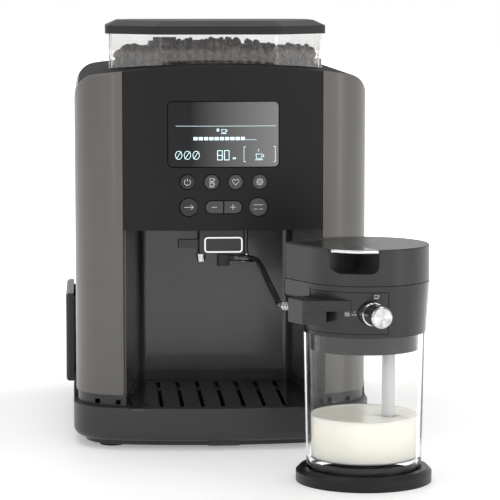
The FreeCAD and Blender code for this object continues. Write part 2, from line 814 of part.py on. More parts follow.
def make_grounds_drawer():
    inner_x = -(BODY_HALF_W + BASE_OUT + RUN)
    z0 = PANEL_Z + RUN
    z1 = z0 + DRAWER_H
    bin_shape = box(inner_x - FASCIA_T / 2, DRAWER_X1, DRAWER_Y0, DRAWER_Y1, z0, z1)
    room = box(
        inner_x,
        DRAWER_X1 - DRAWER_WALL,
        DRAWER_Y0 + DRAWER_WALL,
        DRAWER_Y1 - DRAWER_WALL,
        z0 + DRAWER_WALL,
        z1,
    )
    fascia = box(
        inner_x - FASCIA_T,
        inner_x,
        DRAWER_Y0 - FASCIA_LAP,
        DRAWER_Y1 + FASCIA_LAP,
        FASCIA_Z0,
        z1 + FASCIA_LAP,
    )
    outer = [e for e in fascia.Edges if e.BoundBox.XMax < inner_x - FASCIA_T + 1e-6]
    fascia = fascia.makeFillet(FASCIA_R, outer)
    return bin_shape.cut(room).fuse(fascia).removeSplitter()


def side_panel(side):
    panel = body_ring(PANEL_Z)
    low, high = CONSOLE_HALF_W + SEAM, FAR
    slab = box(low, high, -FAR, PANEL_REAR, 0, TOP_Z)
    if side < 0:
        slab = box(-high, -low, -FAR, PANEL_REAR, 0, TOP_Z)
        slot = box(
            -FAR,
            0,
            DRAWER_Y0 - RUN - SEAM,
            DRAWER_Y1 + RUN + SEAM,
            PANEL_Z,
            PANEL_Z + 2 * RUN + DRAWER_H + SEAM,
        )
        slab = slab.cut(slot)
    return panel.common(slab)


def make_rear_cover():
    cover = body_ring(PANEL_Z).common(box(-FAR, FAR, PANEL_REAR + SEAM, FAR, 0, TOP_Z))
    for x, z in SCREW_PLACES:
        cover = cover.cut(rod(x, BODY_REAR - 2 * WALL, z, SCREW_SHANK_R + SEAM / 4, 3 * WALL, V(0, 1, 0)))
    return cover.cut(rod(GLAND_X, BODY_REAR - 2 * WALL, GLAND_Z, GLAND_R, 3 * WALL, V(0, 1, 0)))


def hopper_outline():
    right = [
        (HOPPER_FRONT_HALF_W, HOPPER_FRONT_Y),
        (HOPPER_HALF_W, HOPPER_SHOULDER_Y),
        (HOPPER_HALF_W, HOPPER_REAR_SHOULDER_Y),
        (HOPPER_REAR_HALF_W, HOPPER_REAR_Y),
    ]
    left = [(-x, y) for x, y in reversed(right)]
    return rounded_outline(right + left, [HOPPER_R] * 8)


def hopper_block(inset, z0, z1):
    outline = hopper_outline()
    return prism(outline.makeOffset2D(-inset) if inset else outline, z0, z1)


def tank_front_y():
    return BULKHEAD_Y + BULKHEAD_T + TANK_GAP


def tank_rear_y():
    return BODY_REAR - 2 * WALL - SEAM - TANK_GAP


def tank_middle_y():
    return (tank_front_y() + tank_rear_y()) / 2


def make_top_cover():
    z0 = TOP_Z - TOP_SKIRT
    cover = plan_prism(WALL + SEAM, z0, TOP_Z).common(arch_block(0, z0))
    cover = cover.cut(plan_prism(2 * WALL + SEAM, z0, TOP_Z).common(arch_block(WALL, z0)))
    cover = cover.cut(hopper_block(-SEAM, z0, TOP_Z))
    half = TANK_HALF_W + TANK_GAP
    return cover.cut(box(-half, half, tank_front_y() - TANK_GAP / 2, tank_rear_y() + TANK_GAP, z0, TOP_Z))


def make_rear_bulkhead():
    wall = plan_prism(WALL + SEAM, PANEL_Z, TOP_Z - TOP_SKIRT - SEAM)
    return wall.common(box(-FAR, FAR, BULKHEAD_Y, BULKHEAD_Y + BULKHEAD_T, 0, TOP_Z))


def tank_hinge():
    """Hinge line of the tank lid, near its rear edge and below its top."""
    return V(0, tank_rear_y() - TANK_LID_GAP, TOP_Z - TANK_HINGE_DOWN)


def make_water_tank():
    y0, y1 = tank_front_y(), tank_rear_y()
    z0 = PANEL_Z + RUN
    tank = rounded_box(-TANK_HALF_W, TANK_HALF_W, y0, y1, z0, TOP_Z, TANK_R)
    tank = tank.common(arch_block(WALL + RUN, PANEL_Z))
    room = rounded_box(
        -TANK_HALF_W + TANK_WALL,
        TANK_HALF_W - TANK_WALL,
        y0 + TANK_WALL,
        y1 - TANK_WALL,
        z0 + TANK_WALL,
        TOP_Z,
        TANK_R - TANK_WALL,
    )
    outlet = rod(0, tank_middle_y(), z0 - OUTLET_H, OUTLET_R, OUTLET_H + TANK_WALL / 2)
    tank = tank.cut(room).fuse(outlet)
    tank = tank.cut(rod(0, tank_middle_y(), z0 - OUTLET_H, OUTLET_R / 2, OUTLET_H + 2 * TANK_WALL))
    hinge = tank_hinge()
    pin_hole = rod(-FAR, hinge.y, hinge.z, TANK_PIN_R + SHAFT_FIT, 2 * FAR, V(1, 0, 0))
    notch = box(-FAR, FAR, hinge.y + TANK_PIN_R * 3, FAR, hinge.z - TANK_PIN_R, TOP_Z)
    return tank.cut(pin_hole).cut(notch).removeSplitter()


def make_tank_lid():
    half = TANK_HALF_W - TANK_WALL - 3 * RUN
    y0, y1 = tank_front_y() + RUN, tank_rear_y() - TANK_LID_GAP
    lid = arch_block(0, PANEL_Z).cut(arch_block(WALL, PANEL_Z))
    lid = lid.common(rounded_box(-half, half, y0, y1, PANEL_REAR, TOP_Z, WALL))
    hinge = tank_hinge()
    for side in (-1, 1):
        far = TANK_HALF_W - TANK_WALL - 4 * RUN
        near = far - TANK_EAR_T
        x0, x1 = (near, far) if side > 0 else (-far, -near)
        half_ear = 3 * TANK_PIN_R
        ear = box(x0, x1, hinge.y - half_ear, hinge.y + 2 * TANK_PIN_R, hinge.z - half_ear, TOP_Z)
        ear = ear.common(arch_block(WALL / 2, PANEL_Z))
        pin = rod(side * near, hinge.y, hinge.z, TANK_PIN_R, TANK_HALF_W - near - RUN, V(side, 0, 0))
        lid = lid.fuse(ear).fuse(pin)
    return lid.removeSplitter()


def funnel(inset):
    """Sloping part of the hopper, from its full plan down to a small plan round the grinder's axis."""
    outline = hopper_outline()
    if inset:
        outline = outline.makeOffset2D(-inset)
    top = outline.copy()
    top.translate(V(0, 0, HOPPER_FUNNEL_Z))
    low = outline.copy()
    low.scale(FUNNEL_SHRINK, V(0, GRIND_Y, 0))
    low.translate(V(0, 0, CEILING_Z + GRINDER_H + HOPPER_SILL))
    return Part.makeLoft([low, top], True, True)


def make_bean_hopper():
    floor = CEILING_Z + GRINDER_H
    outline = hopper_outline()
    outline.scale(FUNNEL_SHRINK, V(0, GRIND_Y, 0))
    sill = prism(outline, floor, floor + HOPPER_SILL)
    rim = hopper_block(0, HOPPER_FUNNEL_Z, HOPPER_TOP_Z)
    room = hopper_block(HOPPER_WALL, HOPPER_FUNNEL_Z, HOPPER_TOP_Z)
    hopper = rim.fuse(funnel(0)).fuse(sill).cut(room).cut(funnel(HOPPER_WALL))
    sleeve_r = KNOB_SHAFT_R + SHAFT_FIT + KNOB_SLEEVE_WALL
    sleeve_top = HOPPER_TOP_Z - KNOB_TOP_GAP - KNOB_H - RUN
    sleeve = rod(KNOB_X, KNOB_Y, floor + HOPPER_SILL, sleeve_r, sleeve_top - floor - HOPPER_SILL)
    hopper = hopper.fuse(sleeve)
    hopper = hopper.cut(rod(KNOB_X, KNOB_Y, floor, KNOB_SHAFT_R + SHAFT_FIT, HOPPER_TOP_Z - floor))
    return hopper.cut(rod(0, GRIND_Y, floor, THROAT_R, HOPPER_SILL)).removeSplitter()


def make_hopper_lid():
    top = HOPPER_TOP_Z + LID_H
    shoulder = top - LID_BEVEL_H
    rim = hopper_block(-LID_OUT, HOPPER_TOP_Z, shoulder)
    low = hopper_outline().makeOffset2D(LID_OUT)
    low.translate(V(0, 0, shoulder))
    high = hopper_outline().makeOffset2D(LID_OUT - LID_BEVEL)
    high.translate(V(0, 0, top))
    crown = Part.makeLoft([low, high], True, True)
    lid = rim.fuse(crown).removeSplitter()
    return lid.cut(hopper_block(HOPPER_WALL, HOPPER_TOP_Z, HOPPER_TOP_Z + LID_ROOM))


def make_grind_knob():
    z1 = HOPPER_TOP_Z - KNOB_TOP_GAP
    knob = rod(KNOB_X, KNOB_Y, z1 - KNOB_H, KNOB_R, KNOB_H)
    knob = knob.makeFillet(KNOB_H / 8, [e for e in knob.Edges if e.BoundBox.ZMin > z1 - 1e-6])
    z0 = CEILING_Z + GRINDER_H + HOPPER_SILL
    shaft = rod(KNOB_X, KNOB_Y, z0, KNOB_SHAFT_R, z1 - KNOB_H / 2 - z0)
    grip = box(
        KNOB_X - KNOB_R * 0.7, KNOB_X + KNOB_R * 0.7, KNOB_Y - KNOB_H / 4, KNOB_Y + KNOB_H / 4,
        z1 - KNOB_H / 2, z1 + KNOB_TOP_GAP / 2,
    )
    return knob.fuse(shaft).fuse(grip).removeSplitter()


def chute_section(inset):
    """Side view of the grounds chute, from the grinder's wall down to the brew unit's top bridge."""
    y0 = GRIND_Y + GRINDER_R - GRINDER_WALL
    top = brew_top()
    points = (
        (y0, top + CHUTE_MOUTH_TOP - inset),
        (y0, top + CHUTE_MOUTH_LOW + inset),
        (BREW_Y - CHUTE_FRONT + inset, top),
        (BREW_Y - CHUTE_REAR - inset, top),
    )
    wire = Part.makePolygon([V(0, y, z) for y, z in points + points[:1]])
    half = CHUTE_HALF_W - inset
    face = Part.Face(wire)
    face.translate(V(-half, 0, 0))
    return face.extrude(V(2 * half, 0, 0))


def brew_top():
    return BREW_Z0 + BREW_H


def make_grinder_housing():
    can = rod(0, GRIND_Y, CEILING_Z, GRINDER_R, GRINDER_H)
    chute = chute_section(0).cut(rod(0, GRIND_Y, CEILING_Z, GRINDER_R - GRINDER_WALL, GRINDER_H))
    can = can.fuse(chute)
    can = can.cut(rod(0, GRIND_Y, CEILING_Z, GRINDER_R - GRINDER_WALL, GRINDER_H - HOPPER_SILL))
    can = can.cut(chute_section(GRINDER_WALL / 2))
    return can.cut(rod(0, GRIND_Y, CEILING_Z, THROAT_R, GRINDER_H)).removeSplitter()


def make_grinder_motor():
    motor = rod(0, GRIND_Y, CEILING_Z, GRINDER_MOTOR_R, GRINDER_MOTOR_H)
    boss = rod(0, GRIND_Y, CEILING_Z, GRINDER_MOTOR_R / 2, GRINDER_MOTOR_H + BURR_GAP)
    floor = CEILING_Z + 2 * WALL
    shaft_hole = rod(0, GRIND_Y, floor, GRINDER_SHAFT_R + SHAFT_FIT, GRINDER_H)
    return motor.fuse(boss).cut(shaft_hole).removeSplitter()


def upper_burr_z():
    return CEILING_Z + GRINDER_H - HOPPER_SILL - BURR_T


def make_upper_burr():
    return tube(0, GRIND_Y, upper_burr_z(), BURR_R, THROAT_R, BURR_T)


def make_lower_burr():
    top = upper_burr_z() - RUN
    disc = rod(0, GRIND_Y, top - BURR_T, BURR_R, BURR_T)
    cone = Part.makeCone(THROAT_R - WALL, GRINDER_SHAFT_R, BURR_T, V(0, GRIND_Y, top))
    low = CEILING_Z + 2 * WALL + RUN
    shaft = rod(0, GRIND_Y, low, GRINDER_SHAFT_R, top - low)
    return disc.fuse(cone).fuse(shaft).removeSplitter()


def make_brew_frame():
    back = bay_back_face()
    rear = SCREW_Y + BREW_REAR
    high_front = GRIND_Y + GRINDER_R + RUN
    low = box(-BREW_HALF_W, BREW_HALF_W, back, rear, BREW_Z0, BREW_Z0 + BRIDGE_T)
    right = gear_distance() + DRIVE_MOTOR_R + WALL
    high = box(-BREW_HALF_W, right, high_front, rear, brew_top() - BRIDGE_T, brew_top())
    front = box(-BREW_HALF_W, BREW_HALF_W, back, back + WALL, BREW_Z0, BAY_TOP)
    post = box(-BREW_HALF_W, BREW_HALF_W, rear - WALL, rear, BREW_Z0, brew_top())
    frame = low.fuse(high).fuse(front).fuse(post)
    frame = frame.cut(rod(0, BREW_Y, BREW_Z0, CHAMBER_BORE_R, BRIDGE_T))
    frame = frame.cut(rod(0, SCREW_Y, 0, SCREW_R + SHAFT_FIT, FAR))
    frame = frame.cut(rod(gear_distance(), SCREW_Y, 0, SCREW_R / 2 + RUN, FAR))
    inset = GRINDER_WALL / 2
    mouth = box(
        -CHUTE_HALF_W + inset, CHUTE_HALF_W - inset,
        BREW_Y - CHUTE_FRONT + inset, BREW_Y - CHUTE_REAR - inset,
        brew_top() - BRIDGE_T, brew_top(),
    )
    return frame.cut(mouth).removeSplitter()


def bay_back_face():
    """Y of the rear face of the bay's back wall."""
    return BAY_BACK_Y + BAY_WALL


def gear_distance():
    return GEAR_MODULE * (GEAR_TEETH + PINION_TEETH) / 2


def make_brew_chamber():
    return tube(0, BREW_Y, BREW_Z0 + BRIDGE_T, CHAMBER_R, CHAMBER_BORE_R, CHAMBER_H)


def make_brew_piston():
    z0 = BREW_Z0 + BRIDGE_T + CHAMBER_H + PISTON_LIFT
    arm_z = brew_top() - BRIDGE_T - RUN - ARM_T
    disc = rod(0, BREW_Y, z0, CHAMBER_BORE_R - RUN, PISTON_T)
    stem = rod(0, BREW_Y, z0, PISTON_ROD_R, arm_z + ARM_T - z0)
    arm = box(-PISTON_ROD_R, PISTON_ROD_R, BREW_Y, SCREW_Y, arm_z, arm_z + ARM_T)
    nut = rod(0, SCREW_Y, arm_z, NUT_R, ARM_T)
    piston = disc.fuse(stem).fuse(arm).fuse(nut)
    return piston.cut(rod(0, SCREW_Y, arm_z, SCREW_R + SHAFT_FIT, ARM_T)).removeSplitter()


def gear(teeth, z0, thickness, turn):
    """Spur gear with straight-flanked teeth that leave backlash at the pitch circle."""
    pitch_r = GEAR_MODULE * teeth / 2
    root_r = pitch_r - 1.15 * GEAR_MODULE
    tip_r = pitch_r + 0.8 * GEAR_MODULE
    blank = rod(0, 0, z0, root_r, thickness)
    pitch = 2 * math.pi / teeth
    teeth_shapes = []
    for i in range(teeth):
        angle = math.radians(turn) + i * pitch
        root_half, tip_half = 0.29 * pitch, 0.115 * pitch
        corners = (
            (root_r * 0.97, -root_half),
            (tip_r, -tip_half),
            (tip_r, tip_half),
            (root_r * 0.97, root_half),
        )
        points = [V(r * math.cos(angle + a), r * math.sin(angle + a), z0) for r, a in corners]
        face = Part.Face(Part.makePolygon(points + points[:1]))
        teeth_shapes.append(face.extrude(V(0, 0, thickness)))
    return blank.fuse(teeth_shapes).removeSplitter()


def make_lead_screw():
    z0 = brew_top() + RUN
    wheel = gear(GEAR_TEETH, z0, GEAR_T, 0)
    wheel.translate(V(0, SCREW_Y, 0))
    return rod(0, SCREW_Y, BREW_Z0, SCREW_R, z0 + GEAR_T - BREW_Z0).fuse(wheel).removeSplitter()


def make_drive_pinion():
    z0 = brew_top() + RUN
    pinion = gear(PINION_TEETH, z0, GEAR_T, 180 + 180 / PINION_TEETH)
    pinion.translate(V(gear_distance(), SCREW_Y, 0))
    low = brew_top() - BRIDGE_T - DRIVE_MOTOR_H / 2
    return pinion.fuse(rod(gear_distance(), SCREW_Y, low, SCREW_R / 2, z0 + GEAR_T - low)).removeSplitter()


def make_drive_motor():
    top = brew_top() - BRIDGE_T
    motor = rod(gear_distance(), SCREW_Y, top - DRIVE_MOTOR_H, DRIVE_MOTOR_R, DRIVE_MOTOR_H)
    low = top - DRIVE_MOTOR_H / 2 - RUN
    return motor.cut(rod(gear_distance(), SCREW_Y, low, SCREW_R / 2 + SHAFT_FIT, DRIVE_MOTOR_H))


def make_water_pump():
    z = PANEL_Z + PUMP_R + WALL
    pump = rod(PUMP_X, DRAWER_Y0, z, PUMP_R, PUMP_L, V(0, 1, 0))
    saddle = box(
        PUMP_X - PUMP_R * 0.7, PUMP_X + PUMP_R * 0.7, DRAWER_Y0 + WALL, DRAWER_Y0 + PUMP_L - WALL, PANEL_Z, z
    )
    spigot = rod(PUMP_X, DRAWER_Y0 + PUMP_L, z, PUMP_R / 3, WALL * 2, V(0, 1, 0))
    return pump.fuse(saddle).fuse(spigot).removeSplitter()


def make_heater_block():
    top = PANEL_Z + HEATER_H
    block = box(HEATER_X0, HEATER_X0 + HEATER_W, DRAWER_Y0, DRAWER_Y0 + HEATER_LENGTH, PANEL_Z, top)
    block = block.makeFillet(WALL, [e for e in block.Edges if e.BoundBox.ZLength > HEATER_H / 2])
    for share in (0.3, 0.7):
        y = DRAWER_Y0 + HEATER_LENGTH * share
        boss = rod(HEATER_X0 + HEATER_W / 2, y, top, 2 * WALL, 4 * WALL)
        block = block.fuse(boss)
    return block.removeSplitter()


def make_main_board():
    back = BULKHEAD_Y - STANDOFF_H
    x1, z1 = MAIN_BOARD_X0 + MAIN_BOARD_W, MAIN_BOARD_Z0 + MAIN_BOARD_H
    board = box(MAIN_BOARD_X0, x1, back - BOARD_T, back, MAIN_BOARD_Z0, z1)
    inset = 2 * STANDOFF_R
    for x in (MAIN_BOARD_X0 + inset, x1 - inset):
        for z in (MAIN_BOARD_Z0 + inset, z1 - inset):
            standoff = rod(x, back - BOARD_T / 2, z, STANDOFF_R, STANDOFF_H + BOARD_T / 2, V(0, 1, 0))
            board = board.fuse(standoff)
    for i, share in enumerate((0.25, 0.5, 0.75)):
        z = MAIN_BOARD_Z0 + MAIN_BOARD_H * share
        half = STANDOFF_H * (1 + i)
        x = MAIN_BOARD_X0 + MAIN_BOARD_W / 2
        y0, y1 = back - 2 * STANDOFF_H, back - BOARD_T / 2
        board = board.fuse(box(x - half, x + half, y0, y1, z - half / 2, z + half / 2))
    return board.removeSplitter()


def make_cord_gland():
    start = BODY_REAR - GLAND_NECK
    gland = rod(GLAND_X, start, GLAND_Z, GLAND_R - SEAM / 4, GLAND_NECK, V(0, 1, 0))
    gland = gland.fuse(rod(GLAND_X, BODY_REAR, GLAND_Z, GLAND_FLANGE_R, GLAND_FLANGE_T, V(0, 1, 0)))
    return gland.cut(
        rod(GLAND_X, start, GLAND_Z, GLAND_BORE_R, GLAND_NECK + GLAND_FLANGE_T, V(0, 1, 0))
    ).removeSplitter()


def make_case_screws():
    screws = []
    for x, z in SCREW_PLACES:
        head = rod(x, BODY_REAR, z, SCREW_HEAD_R, SCREW_HEAD_T, V(0, 1, 0))
        edge = [e for e in head.Edges if e.BoundBox.YMin > BODY_REAR + SCREW_HEAD_T - 1e-6]
        head = head.makeFillet(SCREW_HEAD_T / 2, edge)
        shank = rod(x, BODY_REAR - SCREW_L, z, SCREW_SHANK_R, SCREW_L + SCREW_HEAD_T / 2, V(0, 1, 0))
        slot = box(
            x - SCREW_HEAD_R * 0.6, x + SCREW_HEAD_R * 0.6, BODY_REAR + SCREW_HEAD_T / 2, FAR,
            z - SCREW_HEAD_T / 4, z + SCREW_HEAD_T / 4,
        )
        screws.append(head.fuse(shank).cut(slot).removeSplitter())
    return Part.makeCompound(screws)


def make_carafe_foot():
    foot = rod(CARAFE_X, CARAFE_Y, 0, CARAFE_FOOT_R, CARAFE_FOOT_H)
    edge = [e for e in foot.Edges if e.BoundBox.ZMin > CARAFE_FOOT_H - 1e-6]
    foot = foot.makeChamfer(CARAFE_FOOT_CHAMFER, edge)
    recess = jar_cone(SEAM, 0)
    boss_r = JAR_BOTTOM_R - JAR_WALL - SEAM
    boss = rod(CARAFE_X, CARAFE_Y, CARAFE_FOOT_FLOOR / 2, boss_r, CARAFE_FOOT_FLOOR / 2 + JAR_SKIRT - SEAM)
    return foot.cut(recess).fuse(boss).removeSplitter()


def jar_cone(grow, inset):
    """The jar's slightly tapered outside, grown or drawn in, from the foot's floor to its rim."""
    z0 = CARAFE_FOOT_FLOOR
    return Part.makeCone(
        JAR_BOTTOM_R + grow - inset, JAR_TOP_R + grow - inset, HEAD_Z0 - z0, carafe_point(0, 0, z0)
    )


def jar_floor_z():
    """Top of the jar's glass floor, which stands on a skirt round the foot's boss."""
    return CARAFE_FOOT_FLOOR + JAR_SKIRT + JAR_FLOOR


def make_carafe_jar():
    inner = jar_cone(0, JAR_WALL).cut(rod(CARAFE_X, CARAFE_Y, 0, HEAD_R, jar_floor_z()))
    hollow = rod(CARAFE_X, CARAFE_Y, CARAFE_FOOT_FLOOR, JAR_BOTTOM_R - JAR_WALL, JAR_SKIRT)
    return jar_cone(0, 0).cut(inner).cut(hollow)


def carafe_turned(shape):
    """Turn a shape from the tongue's own frame to its place about the carafe's axis."""
    shape.rotate(V(0, 0, 0), V(0, 0, 1), TONGUE_TURN)
    shape.translate(V(CARAFE_X, CARAFE_Y, 0))
    return shape


def tongue(inset, z0, z1):
    r = max(TONGUE_R - inset, SEAM)
    x0 = -HEAD_R + inset
    x1 = x0 + TONGUE_W - inset
    y1 = TONGUE_REACH - inset
    points = ((x0, 0), (x1, 0), (x1, y1), (x0, y1))
    return carafe_turned(prism(rounded_outline(points, (0, 0, r, r)), z0, z1))


def dial_axis():
    turn = math.radians(DIAL_TURN)
    return V(math.sin(turn), -math.cos(turn), 0)


def dial_seat():
    """Middle of the dial's base ring, on the head's round front."""
    return carafe_point(DIAL_X, -math.sqrt(HEAD_R**2 - DIAL_X**2), DIAL_Z)


def dial_bore(r, deep):
    return Part.makeCylinder(r, deep + DIAL_L, dial_seat() - dial_axis() * deep, dial_axis())


def front_panel(gap):
    """Curved front plate of the frother block, flush with the head, grown by gap for its opening."""
    ring = tube(CARAFE_X, CARAFE_Y, PANEL_FRONT_Z0 - gap, HEAD_R, HEAD_R - PANEL_FRONT_T - gap,
                PANEL_FRONT_Z1 - PANEL_FRONT_Z0 + 2 * gap)
    left = CARAFE_X - HEAD_R - gap
    return ring.common(
        box(left, CARAFE_X + PANEL_FRONT_RIGHT + gap, -FAR, CARAFE_Y + PORT_TIP[1] / 2 + gap, 0, FAR)
    )


def port_block(gap):
    step = PORT_FACE * math.sqrt(0.5)
    back = PORT_TIP[1] + step
    corners = (
        (BLOCK_RIGHT, BLOCK_FRONT),
        (BLOCK_LEFT, BLOCK_FRONT),
        PORT_TIP,
        (PORT_TIP[0] + step, back),
        (BLOCK_ROOT_X, back),
        (BLOCK_RIGHT, BLOCK_ROOT_Y),
    )
    outline = rounded_outline(corners, (0, TONGUE_R, WALL / 3, WALL / 3, 0, 0))
    if gap:
        outline = outline.makeOffset2D(gap)
    block = prism(outline, BLOCK_Z0 - gap, BLOCK_Z1 + gap)
    block.translate(V(CARAFE_X, CARAFE_Y, 0))
    return block


def make_frother_block():
    step = box(
        -FAR, CARAFE_X + BLOCK_RIGHT, -FAR, CARAFE_Y + BLOCK_FRONT + BLOCK_STEP, 0, BLOCK_STEP_Z
    )
    under_tab = box(CARAFE_X + BLOCK_LOW_RIGHT, CARAFE_X, -FAR, CARAFE_Y, 0, BLOCK_STEP_Z)
    plate = front_panel(0).common(head_cone(0, HEAD_Z0))
    block = port_block(0).cut(step).cut(under_tab).fuse(plate)
    block = block.cut(rod(CARAFE_X, CARAFE_Y, 0, HEAD_R - PANEL_FRONT_T, FAR))
    return block.cut(dial_bore(DIAL_BASE_R + RUN, DIAL_ROOT + RUN)).removeSplitter()


def head_cone(inset, z0):
    """The head's outside, slightly tapered down to the jar's rim, drawn in by inset and cut off below z0."""
    cone = Part.makeCone(
        HEAD_LOW_R - inset, HEAD_R - inset, HEAD_Z1 - HEAD_Z0, carafe_point(0, 0, HEAD_Z0)
    )
    return cone.cut(rod(CARAFE_X, CARAFE_Y, 0, HEAD_R, z0)) if z0 > HEAD_Z0 else cone


def head_deck_z():
    """Top of the head's floor, which rests on the jar's rim."""
    return HEAD_Z0 + HEAD_DECK_T


def make_carafe_head():
    head = head_cone(0, HEAD_Z0).fuse(tongue(0, TONGUE_Z0, HEAD_Z1))
    cavity = head_cone(HEAD_WALL, head_deck_z())
    cavity = cavity.fuse(tongue(HEAD_WALL, TONGUE_Z0 + HEAD_WALL, HEAD_Z1))
    head = head.cut(cavity)
    plug_r = JAR_TOP_R - JAR_WALL - 3 * RUN
    plug_h = HEAD_Z0 + HEAD_DECK_T / 2 - SLEEVE_Z0
    plug = tube(CARAFE_X, CARAFE_Y, SLEEVE_Z0, plug_r, plug_r - SLEEVE_WALL, plug_h)
    head = head.fuse(plug).cut(front_panel(SEAM)).cut(port_block(SEAM))
    head = head.cut(dial_bore(DIAL_BASE_R + RUN, DIAL_ROOT + RUN))
    hole = rod(CARAFE_X + SUCTION_X, CARAFE_Y + SUCTION_Y, 0, SUCTION_R + SHAFT_FIT, FAR)
    return head.cut(hole).removeSplitter()


def make_suction_tube():
    x, y = CARAFE_X + SUCTION_X, CARAFE_Y + SUCTION_Y
    low = jar_floor_z() + SUCTION_LIFT
    stem = tube(x, y, low, SUCTION_R, SUCTION_BORE_R, head_deck_z() + HEAD_DECK_T - low)
    collar = tube(x, y, head_deck_z(), SUCTION_R + WALL / 2, SUCTION_BORE_R, HEAD_DECK_T)
    return stem.fuse(collar).removeSplitter()


def pocket_block(inset, z0):
    """Finger pocket under the flap, in the tongue's own frame, drawn in by inset."""
    x0, x1 = POCKET_X0 + inset, POCKET_X1 - inset
    z1 = CARAFE_LID_TOP + POCKET_R
    block = upright_block(x0, x1, z0, z1, POCKET_R - inset, -FAR, POCKET_BACK - inset)
    return carafe_turned(block)


def flap_strip(gap, rear, z0, z1):
    return carafe_turned(box(POCKET_X0 - gap, POCKET_X1 + gap, -FAR, rear, z0, z1))


def flap_hinge_z():
    return CARAFE_LID_TOP - CARAFE_LID_T / 2


def flap_pin(r, reach):
    rear = FLAP_REAR - CARAFE_LID_T / 2
    x0, x1 = POCKET_X0 - reach, POCKET_X1 + reach
    return carafe_turned(rod(x0, rear, flap_hinge_z(), r, x1 - x0, V(1, 0, 0)))


def lid_outline(inset, z0, z1):
    lid_r = HEAD_R - SEAM
    return rod(CARAFE_X, CARAFE_Y, z0, lid_r - inset, z1 - z0).fuse(tongue(SEAM + inset, z0, z1))


def make_carafe_lid():
    z0 = HEAD_Z1 + RUN
    lid = lid_outline(0, z0, CARAFE_LID_TOP).removeSplitter()
    top_edges = [e for e in lid.Edges if e.BoundBox.ZMin > CARAFE_LID_TOP - 1e-6]
    lid = lid.makeFillet(CARAFE_LID_T / 3, top_edges)
    inner = lid_outline(CARAFE_LID_T, z0, CARAFE_LID_TOP - CARAFE_LID_T).removeSplitter()
    lid = lid.cut(inner.cut(pocket_block(-CARAFE_LID_T, POCKET_Z0 - CARAFE_LID_T)))
    lid = lid.cut(pocket_block(0, POCKET_Z0))
    lid = lid.cut(flap_strip(RUN, FLAP_REAR + CARAFE_LID_T / 2, CARAFE_LID_TOP - CARAFE_LID_T - RUN, FAR))
    return lid.cut(flap_pin(FLAP_PIN_R + SHAFT_FIT, CARAFE_LID_T)).removeSplitter()


def make_carafe_flap():
    z0 = CARAFE_LID_TOP - CARAFE_LID_T
    strip = flap_strip(0, FLAP_REAR, z0, CARAFE_LID_TOP).common(lid_outline(0, z0, CARAFE_LID_TOP))
    return strip.fuse(flap_pin(FLAP_PIN_R, CARAFE_LID_T - RUN)).removeSplitter()


def make_carafe_dial():
    axis, seat = dial_axis(), dial_seat()
    root = Part.makeCylinder(DIAL_BASE_R, DIAL_ROOT + DIAL_BASE_L, seat - axis * DIAL_ROOT, axis)
    grip = Part.makeCylinder(DIAL_FACE_R, DIAL_L, seat, axis)
    tip = seat + axis * DIAL_L
    rim = [e for e in grip.Edges if (e.BoundBox.Center - tip).Length < DIAL_L / 10]
    grip = grip.makeChamfer(DIAL_FACE_R / 8, rim)
    return root.fuse(grip).removeSplitter()


PARTS = {
    "rubber_feet": make_feet(),
    "bottom_plate": make_bottom_plate(),
    "base_housing": make_base_housing(),
    "drip_drawer": make_drip_drawer(),
    "cup_grid": make_cup_grid(),
    "tray_float": make_tray_float(),
    "bay_liner": make_bay_liner(),
    "front_console": make_front_console(),
    "display_lens": make_display_lens(),
    "control_board": make_control_board(),
    "button_power": round_button(ROW_1_X[0], ROW_1_Z, ROW_1_R),
    "button_cups": round_button(ROW_1_X[1], ROW_1_Z, ROW_1_R),
    "button_favourite": round_button(ROW_1_X[2], ROW_1_Z, ROW_1_R),
    "button_settings": round_button(ROW_1_X[3], ROW_1_Z, ROW_1_R),
    "button_arrow": round_button(-ROW_2_X, ROW_2_Z, ROW_2_R),
    "button_minus": pill_button(-1),
    "button_plus": pill_button(1),
    "button_start": round_button(ROW_2_X, ROW_2_Z, ROW_2_R),
    "left_side_panel": side_panel(-1),
    "right_side_panel": side_panel(1),
    "rear_cover": make_rear_cover(),
    "top_cover": make_top_cover(),
    "rear_bulkhead": make_rear_bulkhead(),
    "spout_guide": make_spout_guide(),
    "spout_body": make_spout_body(),
    "badge_frame": make_badge_frame(),
    "coffee_nozzles": make_coffee_nozzles(),
    "milk_nozzle": make_milk_nozzle(),
    "milk_hose": make_milk_hose(),
    "hose_fitting": make_hose_fitting(),
    "grounds_drawer": make_grounds_drawer(),
    "water_tank": make_water_tank(),
    "tank_lid": make_tank_lid(),
    "bean_hopper": make_bean_hopper(),
    "hopper_lid": make_hopper_lid(),
    "grind_knob": make_grind_knob(),
    "grinder_housing": make_grinder_housing(),
    "grinder_motor": make_grinder_motor(),
    "upper_burr": make_upper_burr(),
    "lower_burr": make_lower_burr(),
    "brew_frame": make_brew_frame(),
    "brew_chamber": make_brew_chamber(),
    "brew_piston": make_brew_piston(),
    "lead_screw": make_lead_screw(),
    "drive_pinion": make_drive_pinion(),
    "drive_motor": make_drive_motor(),
    "water_pump": make_water_pump(),
    "heater_block": make_heater_block(),
    "main_board": make_main_board(),
    "cord_gland": make_cord_gland(),
    "case_screws": make_case_screws(),
    "carafe_foot": make_carafe_foot(),
    "carafe_jar": make_carafe_jar(),
    "carafe_head": make_carafe_head(),
    "frother_block": make_frother_block(),
    "carafe_dial": make_carafe_dial(),
    "suction_tube": make_suction_tube(),
    "carafe_lid": make_carafe_lid(),
    "carafe_flap": make_carafe_flap(),
}

# The origin is on the worktop, under the middle of the whole object's box.
REACH = Part.makeCompound(list(PARTS.values())).BoundBox
ORIGIN = V(REACH.Center.x, REACH.Center.y, 0)

